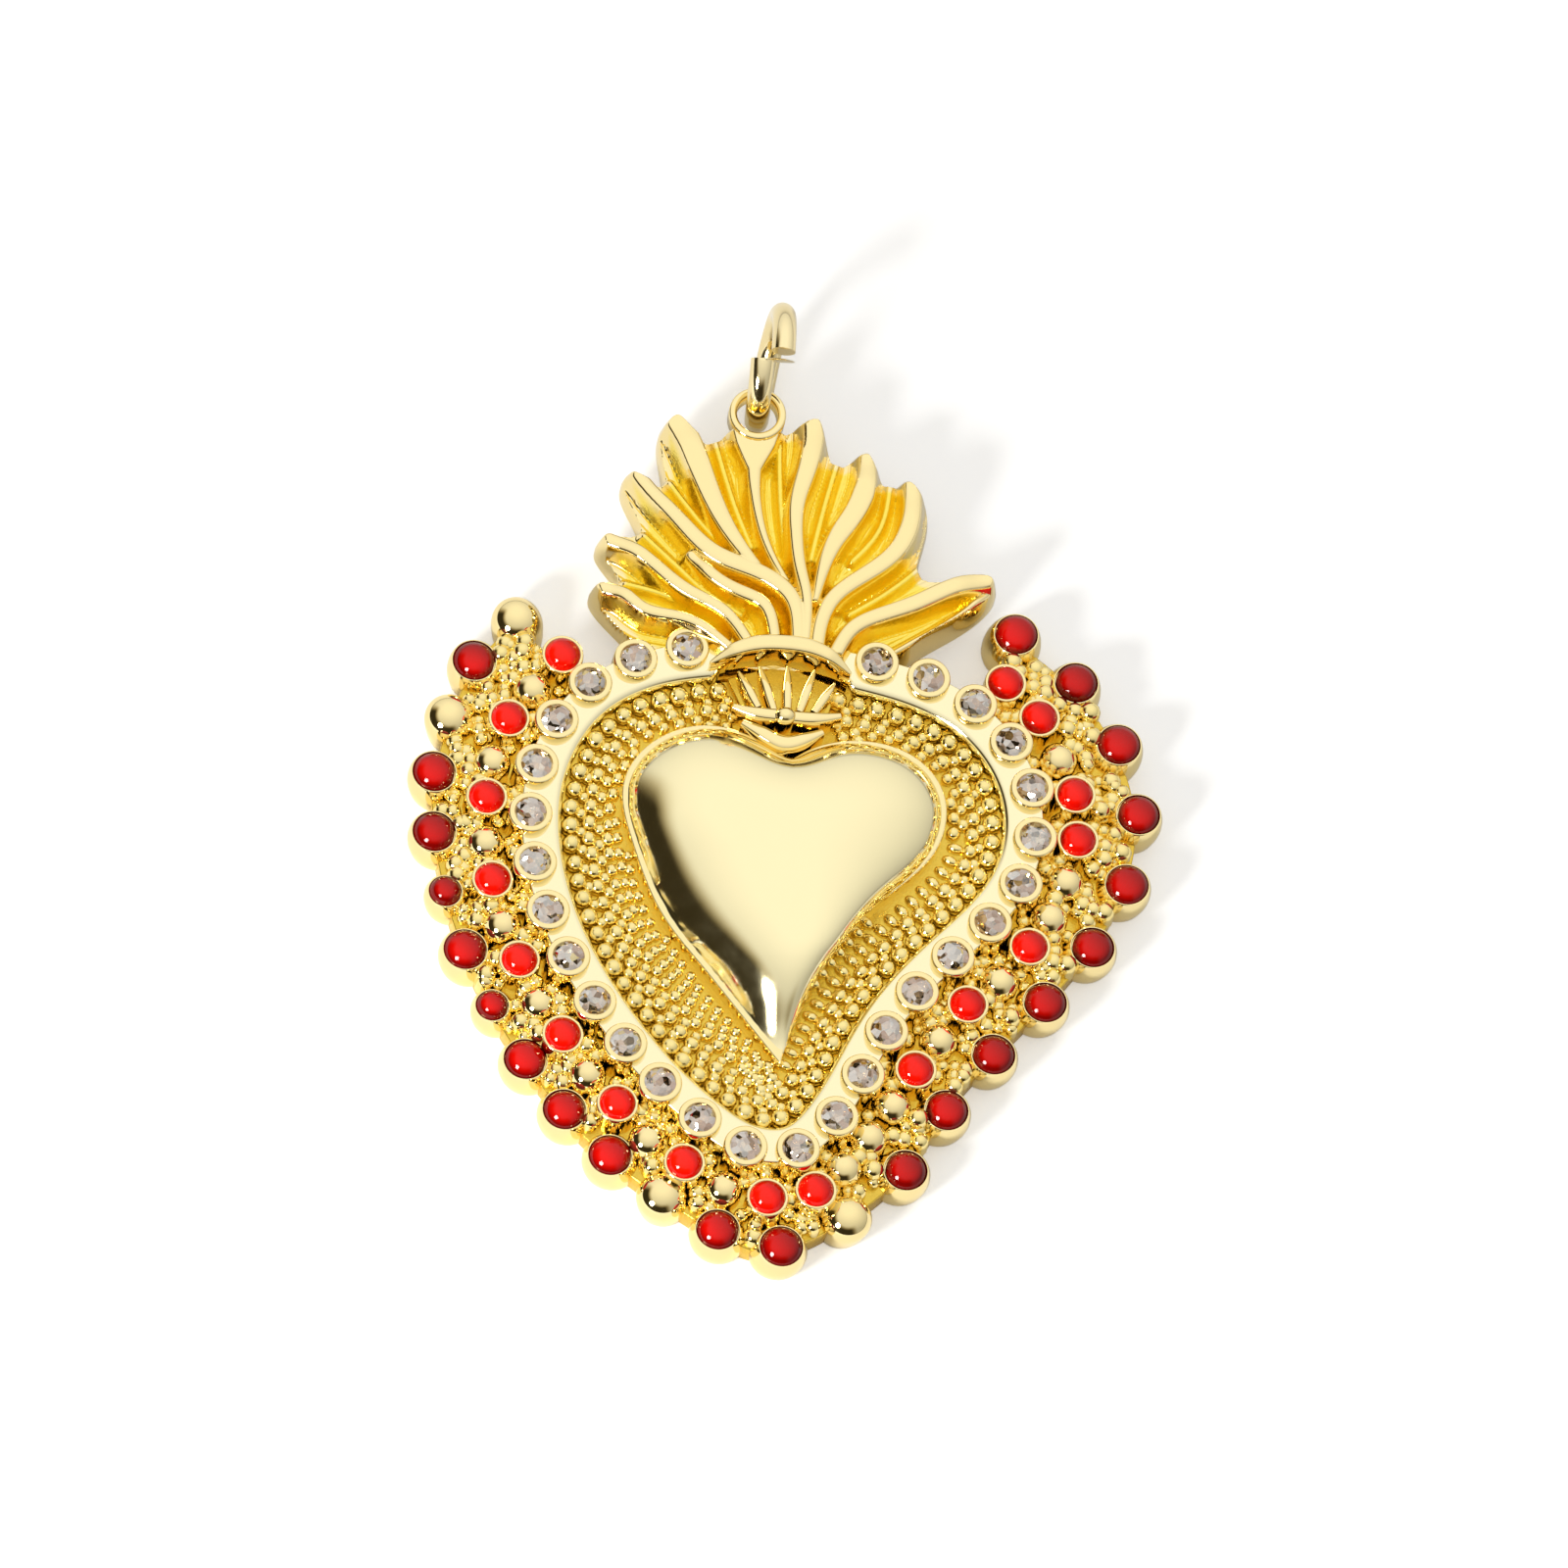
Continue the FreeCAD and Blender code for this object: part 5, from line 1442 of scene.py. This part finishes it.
eyelet = lathe("eyelet", eyelet_profile, 48)
eyelet.data.transform(standing(EYELET))
finish_piece(eyelet, "eyelet", polished_gold, smooth_angle=60.0)

# %% [markdown]
# The ring swings on the eyelet's wall, and its wire has to clear the corners of that wall
# up to the end of the swing. So the ring hangs as high above the wall's middle as a small
# play at the worst corner allows, and its own middle follows from that.

# %% Where the ring hangs
RING_DIAMETER = 5.0
WIRE = 0.9
RING_TURN = math.radians(6.5)
RING_SWING = math.radians(30.0)
RING_PLAY = 0.05
EYELET_THICKNESS = EYELET_HIGH - EYELET_LOW
hang_way = Vector((math.sin(RING_TURN), math.cos(RING_TURN), 0))
wall_middle = Vector((*EYELET, RING_DIAMETER / 2)) + hang_way * (HOLE + EYELET_WALL / 2)
corner_reach = math.hypot(EYELET_WALL / 2, EYELET_THICKNESS / 2) + RING_PLAY
corner_turn = math.atan2(EYELET_THICKNESS, EYELET_WALL) - RING_SWING
ring_inside = RING_DIAMETER / 2 - WIRE
hang = (math.sqrt(ring_inside ** 2 - (corner_reach * math.sin(corner_turn)) ** 2)
        - corner_reach * math.cos(corner_turn))
ring_centre = wall_middle + hang_way * hang
print("ring centre", [round(c, 4) for c in ring_centre])

# %% Jump ring
# The bent ring is a hundredth of a millimetre narrower than its solid, so it stays in the box.
RING_OUTSIDE = RING_DIAMETER - 0.01
RING_SWEEP = math.radians(350.0)
RING_GAP_TURN = math.radians(112.0)
RING_LEAD = 0.75
RING_STEPS = 160
SEAM_SLACK = 0.01
bend_radius = (RING_OUTSIDE - WIRE) / 2
start_angle = -RING_SWEEP / 2 - RING_GAP_TURN
bpy.ops.object.select_all(action="DESELECT")
bpy.ops.mesh.primitive_circle_add(vertices=28, radius=WIRE / 2, fill_type="NGON",
                                  location=(0, -bend_radius, 0))
ring = bpy.context.object
bpy.ops.object.transform_apply(location=True)
ring.data.transform(Matrix.Rotation(-start_angle, 4, "X"))
bpy.ops.object.mode_set(mode="EDIT")
bpy.ops.mesh.select_all(action="SELECT")
bpy.ops.mesh.spin(steps=RING_STEPS, angle=RING_SWEEP, center=(0, 0, 0), axis=(-1, 0, 0))
bpy.ops.object.mode_set(mode="OBJECT")
for vertex in ring.data.vertices:
    turned = math.atan2(vertex.co.z, -vertex.co.y) - start_angle + SEAM_SLACK
    angle = start_angle - SEAM_SLACK + turned % (2 * math.pi)
    vertex.co.x -= RING_LEAD * angle / (2 * math.pi)
point_outwards(ring)
ring.data.transform(Matrix.Translation(ring_centre) @ Matrix.Rotation(-RING_TURN, 4, "Z"))
finish_piece(ring, "jump_ring_wire", wire_gold, body="ring", smooth_angle=50.0)
cad_low, cad_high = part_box("jump_ring")
ring_points = np.array([vertex.co for vertex in ring.data.vertices])
print("ring against its solid, mm:", np.round((ring_points.min(axis=0) - np.array(cad_low)) / MM, 3),
      np.round((ring_points.max(axis=0) - np.array(cad_high)) / MM, 3))
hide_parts("jump_ring")
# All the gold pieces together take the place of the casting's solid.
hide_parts("pendant_casting")
